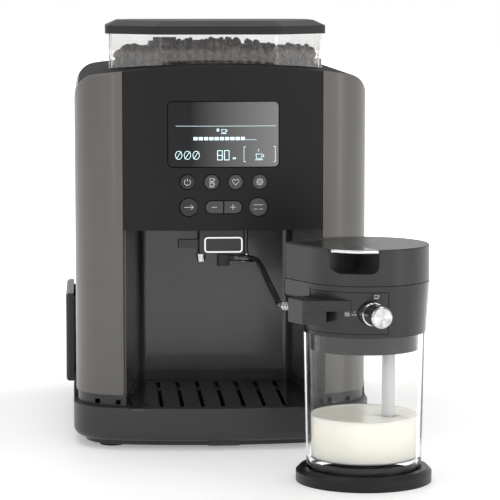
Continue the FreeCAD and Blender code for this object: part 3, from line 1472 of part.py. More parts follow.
os.makedirs("parts", exist_ok=True)
for name, shape in PARTS.items():
    placed = shape.copy()
    placed.translate(ORIGIN * -1)
    placed.exportStep("parts/" + name + ".step")
print("origin", ORIGIN, "size", REACH.XLength, REACH.YLength, REACH.ZLength)
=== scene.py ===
# %% [markdown]
# A bean-to-cup coffee machine with a milk carafe. The solids come packed from the CAD part, one
# object for each node, already in place and in metres. This lesson gives them their finishes and
# adds what a solid modeller is a poor tool for: printed signs, beans, milk and a soft hose.

import math
import random

import bmesh
import bpy
from mathutils import Matrix, Vector


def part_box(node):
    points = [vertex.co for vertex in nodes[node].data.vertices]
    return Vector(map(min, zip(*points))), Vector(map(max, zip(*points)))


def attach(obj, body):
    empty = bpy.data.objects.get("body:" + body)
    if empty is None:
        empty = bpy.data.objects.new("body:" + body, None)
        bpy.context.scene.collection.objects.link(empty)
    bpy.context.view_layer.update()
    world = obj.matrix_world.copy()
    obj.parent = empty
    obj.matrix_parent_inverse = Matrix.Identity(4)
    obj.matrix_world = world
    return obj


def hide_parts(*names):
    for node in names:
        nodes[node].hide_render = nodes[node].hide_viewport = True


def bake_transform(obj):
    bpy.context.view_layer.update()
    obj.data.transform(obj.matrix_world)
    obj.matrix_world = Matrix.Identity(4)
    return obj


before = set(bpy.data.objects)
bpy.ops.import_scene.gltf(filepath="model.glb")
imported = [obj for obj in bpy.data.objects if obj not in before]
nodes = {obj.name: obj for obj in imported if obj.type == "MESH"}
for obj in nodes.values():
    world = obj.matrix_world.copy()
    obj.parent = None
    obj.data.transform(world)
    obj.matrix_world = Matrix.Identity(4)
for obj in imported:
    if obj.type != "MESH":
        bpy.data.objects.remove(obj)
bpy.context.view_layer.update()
scene = bpy.context.scene
scene.view_settings.view_transform = "Standard"
random.seed(7)
print("solids loaded:", len(nodes))

# %% [markdown]
# The part is drawn in millimetres about the machine's own centreline: X to the right, Y to the
# back, Z up from the worktop. Packing moves it so that the whole object is centred. Instead of
# typing that shift, we read it from the console's box, so the lesson still fits if it changes.

# %% From the machine's millimetres to the scene's metres
MM_PER_M = 1000
BODY_FRONT = 163.0
FRONT_BOW_R = 424.0
console_low, console_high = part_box("front_console")
SHIFT = Vector(((console_low.x + console_high.x) / 2, console_low.y + BODY_FRONT / MM_PER_M, 0))


def at(x, y, z):
    """Machine millimetres to metres of the shared frame."""
    return Vector((x, y, z)) / MM_PER_M + SHIFT


def front_y(x):
    """Y of the bowed console face at x, in machine millimetres."""
    return FRONT_BOW_R - BODY_FRONT - math.sqrt(FRONT_BOW_R**2 - x**2)


print("shift in metres:", [round(v, 5) for v in SHIFT])


# %% [markdown]
# Every finish is a Principled shader fed by a few noise textures. Image textures would need files,
# and a flat colour looks like a toy, so small helpers build the nodes: one for a noise in object
# coordinates, one for a colour ramp and one for a range of numbers. Three more feed these into the
# shader's colour, gloss and bump.

# %% Helpers for material nodes
def node(tree, kind, **values):
    made = tree.nodes.new(kind)
    for key, value in values.items():
        if key in made.inputs:
            made.inputs[key].default_value = value
        else:
            setattr(made, key, value)
    return made


def new_material(name):
    material = bpy.data.materials.new(name)
    material.use_nodes = True
    return material, material.node_tree, material.node_tree.nodes["Principled BSDF"]


def noise(tree, scale, detail=3.0):
    coords = node(tree, "ShaderNodeTexCoord")
    texture = node(tree, "ShaderNodeTexNoise", Scale=scale, Detail=detail)
    tree.links.new(coords.outputs["Object"], texture.inputs["Vector"])
    return texture.outputs["Fac"]


def ramp(tree, source, low, high, start=0.3, end=0.7):
    made = node(tree, "ShaderNodeValToRGB")
    made.color_ramp.elements[0].position = start
    made.color_ramp.elements[0].color = (*low, 1)
    made.color_ramp.elements[1].position = end
    made.color_ramp.elements[1].color = (*high, 1)
    tree.links.new(source, made.inputs["Fac"])
    return made.outputs["Color"]


def spread(tree, source, low, high, start=0.0, end=1.0):
    """The source's run from start to end, mapped to a run from low to high."""
    made = node(tree, "ShaderNodeMapRange")
    made.inputs["From Min"].default_value = start
    made.inputs["From Max"].default_value = end
    made.inputs["To Min"].default_value = low
    made.inputs["To Max"].default_value = high
    tree.links.new(source, made.inputs["Value"])
    return made.outputs["Result"]


def cloudy_colour(tree, shader, scale, low, high):
    tree.links.new(ramp(tree, noise(tree, scale), low, high), shader.inputs["Base Color"])


def uneven_gloss(tree, shader, scale, low, high):
    tree.links.new(spread(tree, noise(tree, scale), low, high), shader.inputs["Roughness"])


def add_bump(tree, shader, height, strength, distance):
    bump = node(tree, "ShaderNodeBump", Strength=strength, Distance=distance)
    tree.links.new(height, bump.inputs["Height"])
    tree.links.new(bump.outputs["Normal"], shader.inputs["Normal"])


# %% [markdown]
# Most of the machine is injection-moulded plastic. A mould is spark-eroded, which leaves a fine even
# grain, and the gloss wanders a little from place to place. The carafe is polished instead, so it
# is smoother and has almost no grain. One function makes them all from a colour and a gloss.

# %% Moulded plastics
CLOUD_SCALE = 35.0
GLOSS_SCALE = 140.0
GLOSS_SPREAD = 0.05
GRAIN_DEPTH = 0.0001
COAT_ROUGHNESS = 0.06


def grey(level):
    return (level, level, level)


def moulded(name, colour, roughness, grain=900.0, relief=0.25, vary=0.06, coat=0.0, shine=0.5):
    """Moulded plastic: cloudy colour, uneven gloss and a fine spark-eroded grain."""
    material, tree, shader = new_material(name)
    low = [c * (1 - vary) for c in colour]
    high = [c * (1 + vary) for c in colour]
    cloudy_colour(tree, shader, CLOUD_SCALE, low, high)
    uneven_gloss(tree, shader, GLOSS_SCALE, roughness - GLOSS_SPREAD, roughness + GLOSS_SPREAD)
    add_bump(tree, shader, noise(tree, grain), relief, GRAIN_DEPTH)
    shader.inputs["Specular IOR Level"].default_value = shine
    shader.inputs["Coat Weight"].default_value = coat
    shader.inputs["Coat Roughness"].default_value = COAT_ROUGHNESS
    return material


PANEL = moulded("panel_grey", (0.143, 0.134, 0.121), 0.36, grain=1400.0, relief=0.12, vary=0.03, coat=0.1)
CONSOLE = moulded("console_black", grey(0.009), 0.4, grain=1200.0, relief=0.15, shine=0.25)
TOP = moulded("top_black", grey(0.008), 0.6, grain=1200.0, relief=0.15, shine=0.05)
BASE = moulded("base_dark", grey(0.044), 0.36, grain=1500.0, relief=0.03, vary=0.03, shine=0.4)
GRID = moulded("grid_gloss", grey(0.016), 0.24, grain=1500.0, relief=0.08, coat=0.7)
LINER = moulded("liner_dark", (0.072, 0.072, 0.071), 0.22, grain=700.0, relief=0.12, coat=0.3)
LID = moulded("lid_dark", grey(0.05), 0.5, relief=0.1, shine=0.15)
SPOUT = moulded("spout_black", grey(0.012), 0.25, grain=1400.0, relief=0.1)
BUTTON = moulded("button_grey", grey(0.065), 0.33, grain=1500.0, relief=0.12)
BUTTON_DARK = moulded("button_black", grey(0.014), 0.33, grain=1500.0, relief=0.12)
# Painted shade: a near-black, dull finish for lines laid into gaps too fine to shade themselves.
SEAM_SHADE = moulded("seam_painted_shade", grey(0.002), 0.8, grain=1500.0, relief=0.1, shine=0.0)
CARAFE = moulded("carafe_black", grey(0.022), 0.18, grain=1500.0, relief=0.05, shine=0.36)
CARAFE_LID = moulded("carafe_lid_black", grey(0.036), 0.34, grain=1500.0, relief=0.05, shine=0.36)
PLATE = moulded("plate_satin", grey(0.024), 0.32, grain=1500.0, relief=0.1, shine=0.4)
FOOT = moulded("foot_black", grey(0.011), 0.36, grain=1500.0, relief=0.1, shine=0.3)
RUBBER = moulded("black_rubber", grey(0.014), 0.62, grain=1800.0, relief=0.3)
SILICONE = moulded("hose_silicone", grey(0.012), 0.14, grain=1800.0, relief=0.03, vary=0.05, coat=1.0)
INNER = moulded("inner_plastic", grey(0.09), 0.5)
BOARD = moulded("circuit_green", (0.02, 0.11, 0.05), 0.45, grain=500.0, relief=0.5)
FLOAT = moulded("float_dark", grey(0.02), 0.4)
print("moulded plastics: grey panels, black console, dark liner, polished carafe")


# %% [markdown]
# The trim round the spout's plate, the coffee nozzles, the hose fitting and the dial are chromed.
# Chrome is nearly a mirror, so its look comes from what it reflects. Faint polishing marks in the
# roughness keep it from looking like liquid. The inner steel and castings are rougher.

# %% Metals
METAL_CLOUD_SCALE = 60.0
METAL_DULLEST = 0.94
MARK_SCALE = 400.0
MARK_SPREAD = 0.3
SCRATCH_SCALE = 1500.0
SCRATCH_RELIEF = 0.05
SCRATCH_DEPTH = 0.00005


def metal(name, colour, roughness):
    """Plated or machined metal with faint polishing marks."""
    material, tree, shader = new_material(name)
    shader.inputs["Metallic"].default_value = 1.0
    low = [c * METAL_DULLEST for c in colour]
    cloudy_colour(tree, shader, METAL_CLOUD_SCALE, low, colour)
    uneven_gloss(tree, shader, MARK_SCALE, roughness * (1 - MARK_SPREAD), roughness * (1 + MARK_SPREAD))
    add_bump(tree, shader, noise(tree, SCRATCH_SCALE), SCRATCH_RELIEF, SCRATCH_DEPTH)
    return material


CHROME = metal("chrome_trim", grey(0.58), 0.1)
STEEL = metal("machined_steel", grey(0.6), 0.28)
CASTING = metal("cast_aluminium", grey(0.62), 0.45)
print("metals: chrome, machined steel, cast aluminium")


# %% [markdown]
# The hopper is clear plastic and the jar is pressed glass. With a real index of refraction, milk
# seen through a thick wall seems to fill it to the outside. The photograph shows the wall apart from
# the milk, so the index here is low, and a clear coat gives back the reflections that this loses.

# %% Clear plastic, glass and the lit display
WALL_GLOSS_SCALE = 25.0
WALL_GLOSS_SPREAD = 0.4
WALL_WAVE_SCALE = 18.0
WALL_WAVE_RELIEF = 0.04
WALL_WAVE_DEPTH = 0.0003
WALL_COAT_ROUGHNESS = 0.02
PRINT_SCALE = 300.0
PRINT_SMOOTHEST = 0.3
PRINT_ROUGHEST = 0.5


def clear(name, colour, roughness, ior, cloud=0.0, coat=1.0):
    """Clear wall with a slightly uneven surface; cloud is the share of light that it scatters."""
    material, tree, shader = new_material(name)
    shader.inputs["Base Color"].default_value = (*colour, 1)
    shader.inputs["Transmission Weight"].default_value = 1.0 - cloud
    shader.inputs["IOR"].default_value = ior
    shader.inputs["Coat Weight"].default_value = coat
    shader.inputs["Coat Roughness"].default_value = WALL_COAT_ROUGHNESS
    smooth = roughness * (1 - WALL_GLOSS_SPREAD)
    uneven_gloss(tree, shader, WALL_GLOSS_SCALE, smooth, roughness * (1 + WALL_GLOSS_SPREAD))
    add_bump(tree, shader, noise(tree, WALL_WAVE_SCALE), WALL_WAVE_RELIEF, WALL_WAVE_DEPTH)
    return material


def glowing(name, colour, strength):
    material, tree, shader = new_material(name)
    shader.inputs["Base Color"].default_value = (*colour, 1)
    shader.inputs["Emission Color"].default_value = (*colour, 1)
    shader.inputs["Emission Strength"].default_value = strength
    uneven_gloss(tree, shader, PRINT_SCALE, PRINT_SMOOTHEST, PRINT_ROUGHEST)
    return material


CLEAR = clear("clear_plastic", (0.97, 0.97, 0.96), 0.03, ior=1.08, cloud=0.022)
JAR = clear("jar_glass", (0.965, 0.965, 0.96), 0.01, ior=1.06, coat=0.25)
TUBE = clear("frosted_tube", (0.8, 0.82, 0.82), 0.3, ior=1.3, cloud=0.55, coat=0.2)
# The print is no lamp, but it is given a faint glow: painted light that keeps the white signs bright.
GLOWING_PRINT = glowing("print_white_glowing", (0.75, 0.77, 0.78), 0.15)
LIT = glowing("display_lit", (0.7, 0.93, 0.97), 0.85)
print("clear: hopper, jar, suction tube; glowing: print and display")


# %% [markdown]
# The display is a dark window that looks lighter towards its right, where its backlight leaks. A
# lamp behind it would be hard to steer, so a ramp across the lens in object coordinates does it.

# %% Display window
WINDOW_DARK = (0.008, 0.009, 0.01)
WINDOW_LEAK = grey(0.29)
LEAK_START = 0.2
WINDOW_GLOSS_SCALE = 90.0
WINDOW_SMOOTHEST = 0.1
WINDOW_ROUGHEST = 0.16
WINDOW_SHINE = 0.25


def display_glass():
    material, tree, shader = new_material("display_glass")
    coords = node(tree, "ShaderNodeTexCoord")
    parts = node(tree, "ShaderNodeSeparateXYZ")
    tree.links.new(coords.outputs["Object"], parts.inputs["Vector"])
    low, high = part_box("display_lens")
    across = spread(tree, parts.outputs["X"], 0.0, 1.0, low.x, high.x)
    shade = ramp(tree, across, WINDOW_DARK, WINDOW_LEAK, LEAK_START, 1.0)
    tree.links.new(shade, shader.inputs["Base Color"])
    uneven_gloss(tree, shader, WINDOW_GLOSS_SCALE, WINDOW_SMOOTHEST, WINDOW_ROUGHEST)
    shader.inputs["Specular IOR Level"].default_value = WINDOW_SHINE
    return material


GLASS = display_glass()

# %% [markdown]
# Each CAD node keeps its mesh and only gets a finish. A table from finish to nodes is easier to
# check than a long row of assignments, and the loop says so if a node was forgotten.

# %% Give each solid its finish
FINISHES = (
    (PANEL, ("left_side_panel", "right_side_panel", "rear_cover")),
    (CONSOLE, ("front_console", "grind_knob")),
    (SPOUT, ("spout_body",)),
    (TOP, ("top_cover", "tank_lid")),
    (BASE, ("base_housing", "drip_drawer", "bottom_plate", "grounds_drawer")),
    (GRID, ("cup_grid",)),
    (LINER, ("bay_liner", "spout_guide", "rear_bulkhead")),
    (LID, ("hopper_lid",)),
    (CARAFE, ("carafe_head", "carafe_flap")),
    (CARAFE_LID, ("carafe_lid",)),
    (FOOT, ("carafe_foot",)),
    (PLATE, ("frother_block",)),
    (RUBBER, ("rubber_feet", "cord_gland", "milk_nozzle")),
    (CHROME, ("badge_frame", "coffee_nozzles", "hose_fitting", "carafe_dial")),
    (STEEL, ("upper_burr", "lower_burr", "lead_screw", "drive_pinion", "case_screws")),
    (CASTING, ("heater_block", "grinder_motor", "drive_motor", "water_pump")),
    (INNER, ("grinder_housing", "brew_frame", "brew_piston", "brew_chamber")),
    (BOARD, ("control_board", "main_board")),
    (FLOAT, ("tray_float",)),
    (CLEAR, ("bean_hopper", "water_tank")),
    (JAR, ("carafe_jar",)),
    (TUBE, ("suction_tube",)),
    (GLASS, ("display_lens",)),
    (BUTTON_DARK, ("button_power", "button_arrow")),
    (BUTTON, tuple("button_" + n for n in ("cups", "favourite", "settings", "minus", "plus", "start"))),
)
finished = {"milk_hose"}
for material, names in FINISHES:
    for name in names:
        nodes[name].data.materials.clear()
        nodes[name].data.materials.append(material)
        finished.add(name)
print("solids without a finish:", sorted(set(nodes) - finished))


# %% [markdown]
# Printed signs are thin lines of paint. A picture would need an image file, and text objects know
# no icons, so each sign is a few polylines given a round bevel less than a millimetre thick. A
# small function lays each point on the surface that carries it: bowed lens, button cap or carafe.
# The helpers that close a mesh, which later pieces share, stand here too.

# %% Helpers for meshes and printed lines
CORNER_STEPS = 6


def link_mesh(name, mesh, material, body):
    made = bpy.data.objects.new(name, mesh)
    scene.collection.objects.link(made)
    mesh.materials.clear()
    mesh.materials.append(material)
    for face in mesh.polygons:
        face.use_smooth = True
    if body:
        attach(made, body)
    return made


def evaluated_mesh(made):
    """The mesh that an object gives with its modifiers or bevel, as a mesh of its own."""
    bpy.context.view_layer.update()
    return bpy.data.meshes.new_from_object(made.evaluated_get(bpy.context.evaluated_depsgraph_get()))


def closed_mesh(name, shape):
    bmesh.ops.recalc_face_normals(shape, faces=shape.faces)
    mesh = bpy.data.meshes.new(name)
    shape.to_mesh(mesh)
    shape.free()
    return mesh


def skin(name, rings):
    """A closed mesh through rings of points, each with as many points as the next."""
    shape = bmesh.new()
    rows = [[shape.verts.new(spot) for spot in ring] for ring in rings]
    for low, high in zip(rows, rows[1:]):
        for i in range(len(low)):
            j = (i + 1) % len(low)
            shape.faces.new((low[i], low[j], high[j], high[i]))
    shape.faces.new(list(reversed(rows[0])))
    shape.faces.new(rows[-1])
    return closed_mesh(name, shape)


def draw(name, lines, place, thickness, material, body):
    """Printed strokes: each line is a run of (x, z) points that place() lays on a surface."""
    data = bpy.data.curves.new(name + "_strokes", "CURVE")
    data.dimensions = "3D"
    data.bevel_depth = thickness / 2 / MM_PER_M
    data.bevel_resolution = 1
    data.use_fill_caps = True
    for line in lines:
        spline = data.splines.new("POLY")
        spline.points.add(len(line) - 1)
        for point, (x, z) in zip(spline.points, line):
            point.co = (*place(x, z), 1)
    strokes = bpy.data.objects.new(name + "_strokes", data)
    scene.collection.objects.link(strokes)
    mesh = evaluated_mesh(strokes)
    bpy.data.objects.remove(strokes)
    print("drawn:", name, "lines", len(lines), "faces", len(mesh.polygons))
    return link_mesh(name, mesh, material, body)


def arc(x, z, rx, rz, start, end, steps=16):
    turns = [math.radians(start + (end - start) * i / steps) for i in range(steps + 1)]
    return [(x + rx * math.cos(t), z + rz * math.sin(t)) for t in turns]


def moved(lines, x, z, size=1.0):
    return [[(x + px * size, z + pz * size) for px, pz in line] for line in lines]


def steps_between(start, end, count):
    return [start + (end - start) * i / count for i in range(count + 1)]


def rounded_rectangle(half_w, z0, z1, radius, edge_steps=0):
    """Clockwise outline from the top left; edge_steps puts points along the top and the bottom."""
    x = half_w - radius
    edge = steps_between(-x, x, edge_steps) if edge_steps else []
    line = [(px, z1) for px in edge]
    line += arc(x, z1 - radius, radius, radius, 90, 0, CORNER_STEPS)
    line += arc(x, z0 + radius, radius, radius, 0, -90, CORNER_STEPS)
    line += [(-px, z0) for px in edge]
    line += arc(-x, z0 + radius, radius, radius, -90, -180, CORNER_STEPS)
    return line + arc(-x, z1 - radius, radius, radius, 180, 90, CORNER_STEPS)


def on_flat(y):
    """A place() for draw(), on an upright flat face at y in metres."""

    def place(x, z):
        spot = at(x, 0, z)
        return Vector((spot.x, y, spot.z))

    return place


# %% [markdown]
# The display shows a cup, a strength in beans, a volume and a row of bars for the grind. Numbers on
# a display are plain segments, which suits polylines well.

# %% Signs on the display
LENS_SUNK = 0.3
LENS_HALF_W = 45.6
LENS_Z0 = 233.5
LENS_Z1 = 287.3
LENS_R = 4.0
RULE_STROKE = 0.3
SIGN_STROKE = 0.5
DIGIT_STROKE = 0.75
LONG_RULE_Z = 267.2
SHORT_RULE_Z = 256.0
LOW_ROW_Z = 243.4
STRENGTH_BEANS = 3
STRENGTH_START = -36.6
STRENGTH_PITCH = 7.1
CUP = [
    [(-1.6, 1.0), (-1.3, -1.0), (0.9, -1.0), (1.2, 1.0), (-1.6, 1.0)],
    arc(1.2, 0.2, 0.8, 0.6, 80, -80, 8),
    [(-2.0, -1.6), (1.6, -1.6)],
]
STEAM = [arc(0, 0, 0.8, 1.2, -60, 60, 8)]
BEAN = [arc(0, 0, 1.5, 1.9, 0, 360, 24), [(-1.3, -1.7), (-0.2, -0.4), (0.2, 0.4), (1.3, 1.7)]]
DIGIT_8 = [[(-1, 0), (-1, 2), (1, 2), (1, 0), (-1, 0), (-1, -2), (1, -2), (1, 0)]]
DIGIT_0 = [[(-1, -2), (-1, 2), (1, 2), (1, -2), (-1, -2)]]
UNIT_ML = [
    [(-2, -1), (-2, 0.6), (-1.2, 0.6), (-1.2, -1)],
    [(-1.2, 0.6), (-0.4, 0.6), (-0.4, -1)],
    [(0.6, 1.4), (0.6, -1)],
]
BRACKETS = [
    [(18.2, 250.2), (16.7, 250.2), (16.7, 238.0), (18.2, 238.0)],
    [(41.0, 250.2), (42.5, 250.2), (42.5, 238.0), (41.0, 238.0)],
]


def on_lens(x, z):
    return at(x, front_y(x) + LENS_SUNK, z)


rules = [[(x, LONG_RULE_Z) for x in steps_between(-39, 43, 28)]]
rules.append([(x, SHORT_RULE_Z) for x in steps_between(18, 27, 6)])
draw("display_rules", rules, on_lens, RULE_STROKE, LIT, "machine")
small = moved(CUP, 0.4, 263.2, 1.25) + moved(BEAN, -4.6, 264.0, 0.6) + moved(UNIT_ML, 9.2, 240.9, 0.75)
for i in range(STRENGTH_BEANS):
    small += moved(BEAN, STRENGTH_START + i * STRENGTH_PITCH, LOW_ROW_Z, 1.75)
draw("display_small_signs", small, on_lens, SIGN_STROKE, LIT, "machine")
volume = moved(DIGIT_8, -3.0, LOW_ROW_Z, 1.9) + moved(DIGIT_0, 2.6, LOW_ROW_Z, 1.9)
draw("display_digits", volume, on_lens, DIGIT_STROKE, LIT, "machine")
choice = BRACKETS + moved(CUP, 29.4, 242.4, 1.8) + moved(STEAM, 28.0, 247.4)
draw("display_choice", choice, on_lens, SIGN_STROKE, LIT, "machine")

# %% [markdown]
# A thin dark seam runs round the window, where the lens sits in the console. The gap is in the
# solids, but at this distance it is less than a pixel, so the shade in it is painted: a dark line is
# laid into it.

# %% Painted shade in the seam round the display
LENS_SEAM_STROKE = 0.9
seam = rounded_rectangle(LENS_HALF_W, LENS_Z0, LENS_Z1, LENS_R, edge_steps=16)
draw("display_seam", [seam], on_lens, LENS_SEAM_STROKE, SEAM_SHADE, "machine")


# %% [markdown]
# The ten bars of the grind row and the beans in the hopper are both one shape repeated on points.
# That is work for Geometry Nodes: the tree puts a pattern on every point, turns and sizes it at
# random from a fixed seed, realizes the copies and sets their finish. Its sizes are named inputs, so
# the same tree serves both. The result becomes a plain mesh, because the export drops instances.

# %% One tree for copies on points
def copies_tree():
    tree = bpy.data.node_groups.new("copies_on_points", "GeometryNodeTree")
    face = tree.interface
    face.new_socket("Geometry", in_out="OUTPUT", socket_type="NodeSocketGeometry")
    face.new_socket("Geometry", in_out="INPUT", socket_type="NodeSocketGeometry")
    for name, kind in (("Pattern", "Object"), ("Smallest", "Float"), ("Largest", "Float"),
                       ("Turn", "Float"), ("Seed", "Int"), ("Finish", "Material")):
        face.new_socket(name, in_out="INPUT", socket_type="NodeSocket" + kind)
    entry = tree.nodes.new("NodeGroupInput")
    leave = tree.nodes.new("NodeGroupOutput")
    points = tree.nodes.new("GeometryNodeMeshToPoints")
    copies = tree.nodes.new("GeometryNodeInstanceOnPoints")
    source = tree.nodes.new("GeometryNodeObjectInfo")
    turn = tree.nodes.new("FunctionNodeRandomValue")
    turn.data_type = "FLOAT_VECTOR"
    size = tree.nodes.new("FunctionNodeRandomValue")
    size.data_type = "FLOAT"
    realize = tree.nodes.new("GeometryNodeRealizeInstances")
    paint = tree.nodes.new("GeometryNodeSetMaterial")
    wires = (
        (entry.outputs["Geometry"], points.inputs["Mesh"]),
        (entry.outputs["Pattern"], source.inputs["Object"]),
        (entry.outputs["Turn"], turn.inputs[1]),
        (entry.outputs["Seed"], turn.inputs["Seed"]),
        (entry.outputs["Smallest"], size.inputs[2]),
        (entry.outputs["Largest"], size.inputs[3]),
        (entry.outputs["Seed"], size.inputs["Seed"]),
        (points.outputs["Points"], copies.inputs["Points"]),
        (source.outputs["Geometry"], copies.inputs["Instance"]),
        (turn.outputs[0], copies.inputs["Rotation"]),
        (size.outputs[1], copies.inputs["Scale"]),
        (copies.outputs["Instances"], realize.inputs["Geometry"]),
        (realize.outputs["Geometry"], paint.inputs["Geometry"]),
        (entry.outputs["Finish"], paint.inputs["Material"]),
        (paint.outputs["Geometry"], leave.inputs["Geometry"]),
    )
    for source_socket, target_socket in wires:
        tree.links.new(source_socket, target_socket)
    return tree


COPIES = copies_tree()


def copy_on_points(name, spots, pattern, **values):
    """Run the tree on a cloud of points and hand back one plain mesh."""
    cloud = bpy.data.meshes.new(name + "_points")
    cloud.from_pydata(spots, [], [])
    holder = bpy.data.objects.new(name + "_points", cloud)
    sample = bpy.data.objects.new(name + "_pattern", pattern)
    scene.collection.objects.link(holder)
    scene.collection.objects.link(sample)
    modifier = holder.modifiers.new("copies", "NODES")
    modifier.node_group = COPIES
    values["Pattern"] = sample
    for socket in COPIES.interface.items_tree:
        if socket.in_out == "INPUT" and socket.name in values:
            modifier[socket.identifier] = values[socket.name]
    made = evaluated_mesh(holder)
    holder.modifiers.remove(modifier)
    bpy.data.objects.remove(holder)
    bpy.data.objects.remove(sample)
    print("copied:", name, "points", len(spots), "faces", len(made.polygons))
    return made


# %% [markdown]
# A bar of the grind row is a small bevelled slab. It is made flat at the origin, as every pattern
# for instancing should be, and the points carry it to the lens.

# %% Grind row on the display
BAR_COUNT = 10
BAR_PITCH = 4.3
BAR_SIZE = (3.4, 0.3, 2.6)
BAR_EDGE = 0.0001
BAR_START = -22.9
BAR_Z = 257.0
bar_shape = bmesh.new()
bmesh.ops.create_cube(bar_shape, size=1.0)
bmesh.ops.scale(bar_shape, vec=Vector(BAR_SIZE) / MM_PER_M, verts=bar_shape.verts)
bmesh.ops.bevel(bar_shape, geom=bar_shape.edges[:], offset=BAR_EDGE, segments=1, affect="EDGES")
bar_spots = [on_lens(BAR_START + i * BAR_PITCH, BAR_Z) for i in range(BAR_COUNT)]
bars = copy_on_points(
    "bars", bar_spots, closed_mesh("bar", bar_shape),
    Smallest=1.0, Largest=1.0, Turn=0.0, Seed=1, Finish=LIT,
)
link_mesh("display_level", bars, LIT, "machine")

# %% [markdown]
# Each button carries its own sign, and the sign has to ride on its button, or it would stay behind
# when the cap is pressed. The caps are flat, so a point only needs the cap's front in Y.

# %% Signs on the buttons
GEAR_TEETH = 8
SIGN_SCALE = 1.25
SIGN_SUNK = 0.05
HEART = [
    [(0, -2), (-2.1, 0.3), (-1.8, 1.6), (-0.8, 1.8), (0, 0.9), (0.8, 1.8), (1.8, 1.6), (2.1, 0.3), (0, -2)]
]
POWER = [arc(0, 0, 2, 2, 125, 415, 20), [(0, 0.2), (0, 2.4)]]
GEAR = [arc(0, 0, 1.0, 1.0, 0, 360, 16), arc(0, 0, 2.0, 2.0, 0, 360, 8)]
for i in range(GEAR_TEETH):
    turn = 2 * math.pi * i / GEAR_TEETH
    tooth = Vector((math.cos(turn), math.sin(turn)))
    GEAR.append([tuple(tooth * 1.9), tuple(tooth * 2.5)])
TWO_CUPS = moved(CUP, 0.2, 1.5, 0.9) + moved(CUP, 0.2, -1.6, 0.9)
ARROW = [[(-3, 0), (3, 0)], [(1.2, 1.6), (3, 0), (1.2, -1.6)]]
MINUS = [[(-1.8, 0), (1.8, 0)]]
PLUS = MINUS + [[(0, -1.8), (0, 1.8)]]
START = [[(-3, 1.4), (3, 1.4)], [(-3, -1.4), (-0.6, -1.4)], [(0.6, -1.4), (3, -1.4)]]
BUTTON_SIGNS = {
    "power": (POWER, -29.6, 221.5),
    "cups": (TWO_CUPS, -9.8, 221.5),
    "favourite": (HEART, 9.8, 221.5),
    "settings": (GEAR, 29.6, 221.5),
    "arrow": (ARROW, -28.4, 200.9),
    "minus": (MINUS, -7.6, 200.9),
    "plus": (PLUS, 7.6, 200.9),
    "start": (START, 28.4, 200.9),
}
for name, (lines, x, z) in BUTTON_SIGNS.items():
    on_cap = on_flat(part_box("button_" + name)[0].y + SIGN_SUNK / MM_PER_M)
    strokes = moved(lines, x, z, SIGN_SCALE)
    draw("sign_" + name, strokes, on_cap, SIGN_STROKE, GLOWING_PRINT, "button_" + name)

# %% [markdown]
# A dark gap shows round each cap, where shade falls. It is in the solids too, as wide as a hair, so
# that shade is painted: a dark line is laid into it on the console's face, just behind the cap's
# front. The two halves of the pill share one.

# %% Painted shade in the seams round the buttons
CAP_PROUD = 0.7
ROUND_CAPS = {"power": 6.3, "cups": 6.3, "favourite": 6.3, "settings": 6.3, "arrow": 7.7, "start": 7.7}
PILL_HALF_W = 15.0
PILL_R = 5.3
CAP_SEAM_STROKE = 0.6
CAP_SEAM_STEPS = 40


def shade_seam_on_console(name, line):
    on_face = on_flat(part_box("button_" + name)[0].y + CAP_PROUD / MM_PER_M)
    draw("seam_" + name, [line], on_face, CAP_SEAM_STROKE, SEAM_SHADE, "machine")


for name, radius in ROUND_CAPS.items():
    x, z = BUTTON_SIGNS[name][1:]
    shade_seam_on_console(name, arc(x, z, radius, radius, 0, 360, CAP_SEAM_STEPS))
pill_z = BUTTON_SIGNS["plus"][2]
pill_end = PILL_HALF_W - PILL_R
pill_line = arc(pill_end, pill_z, PILL_R, PILL_R, 90, -90, 16)
pill_line += arc(-pill_end, pill_z, PILL_R, PILL_R, 270, 90, 16)
shade_seam_on_console("plus", pill_line + pill_line[:1])

# %% [markdown]
# The carafe's plate has a padlock, drops and a cup round its dial. The head is a slight cone, so
# the radius that carries a point depends on its height.

# %% Signs on the carafe
CARAFE_X = 101.4
CARAFE_Y = -291.5
HEAD_R = 50.0
HEAD_LOW_R = 47.4
HEAD_Z0 = 117.0
HEAD_Z1 = 156.5
PLATE_STROKE = 0.4
PADLOCK = [
    [(-1.2, -1.4), (1.2, -1.4), (1.2, 0.3), (-1.2, 0.3), (-1.2, -1.4), (1.2, 0.3)],
    [(-1.2, 0.3), (1.2, -1.4)],
    arc(0, 0.3, 0.8, 1.4, 180, 20, 10),
]
DROPS = [[(x, -1.4), (x, -0.2)] for x in (-1.2, 0.0, 1.2)] + [[(-0.2, 0.8), (0.8, 1.4)]]


def on_carafe(x, z):
    radius = HEAD_LOW_R + (HEAD_R - HEAD_LOW_R) * (z - HEAD_Z0) / (HEAD_Z1 - HEAD_Z0)
    return at(CARAFE_X + x, CARAFE_Y - math.sqrt(radius**2 - x**2), z)


plate_signs = moved(PADLOCK, -18.2, 136.2, 1.3) + moved(DROPS, -13.2, 136.2, 1.1)
plate_signs += moved(CUP, 3.4, 149.3, 1.0)
draw("carafe_signs", plate_signs, on_carafe, PLATE_STROKE, GLOWING_PRINT, "carafe_head")
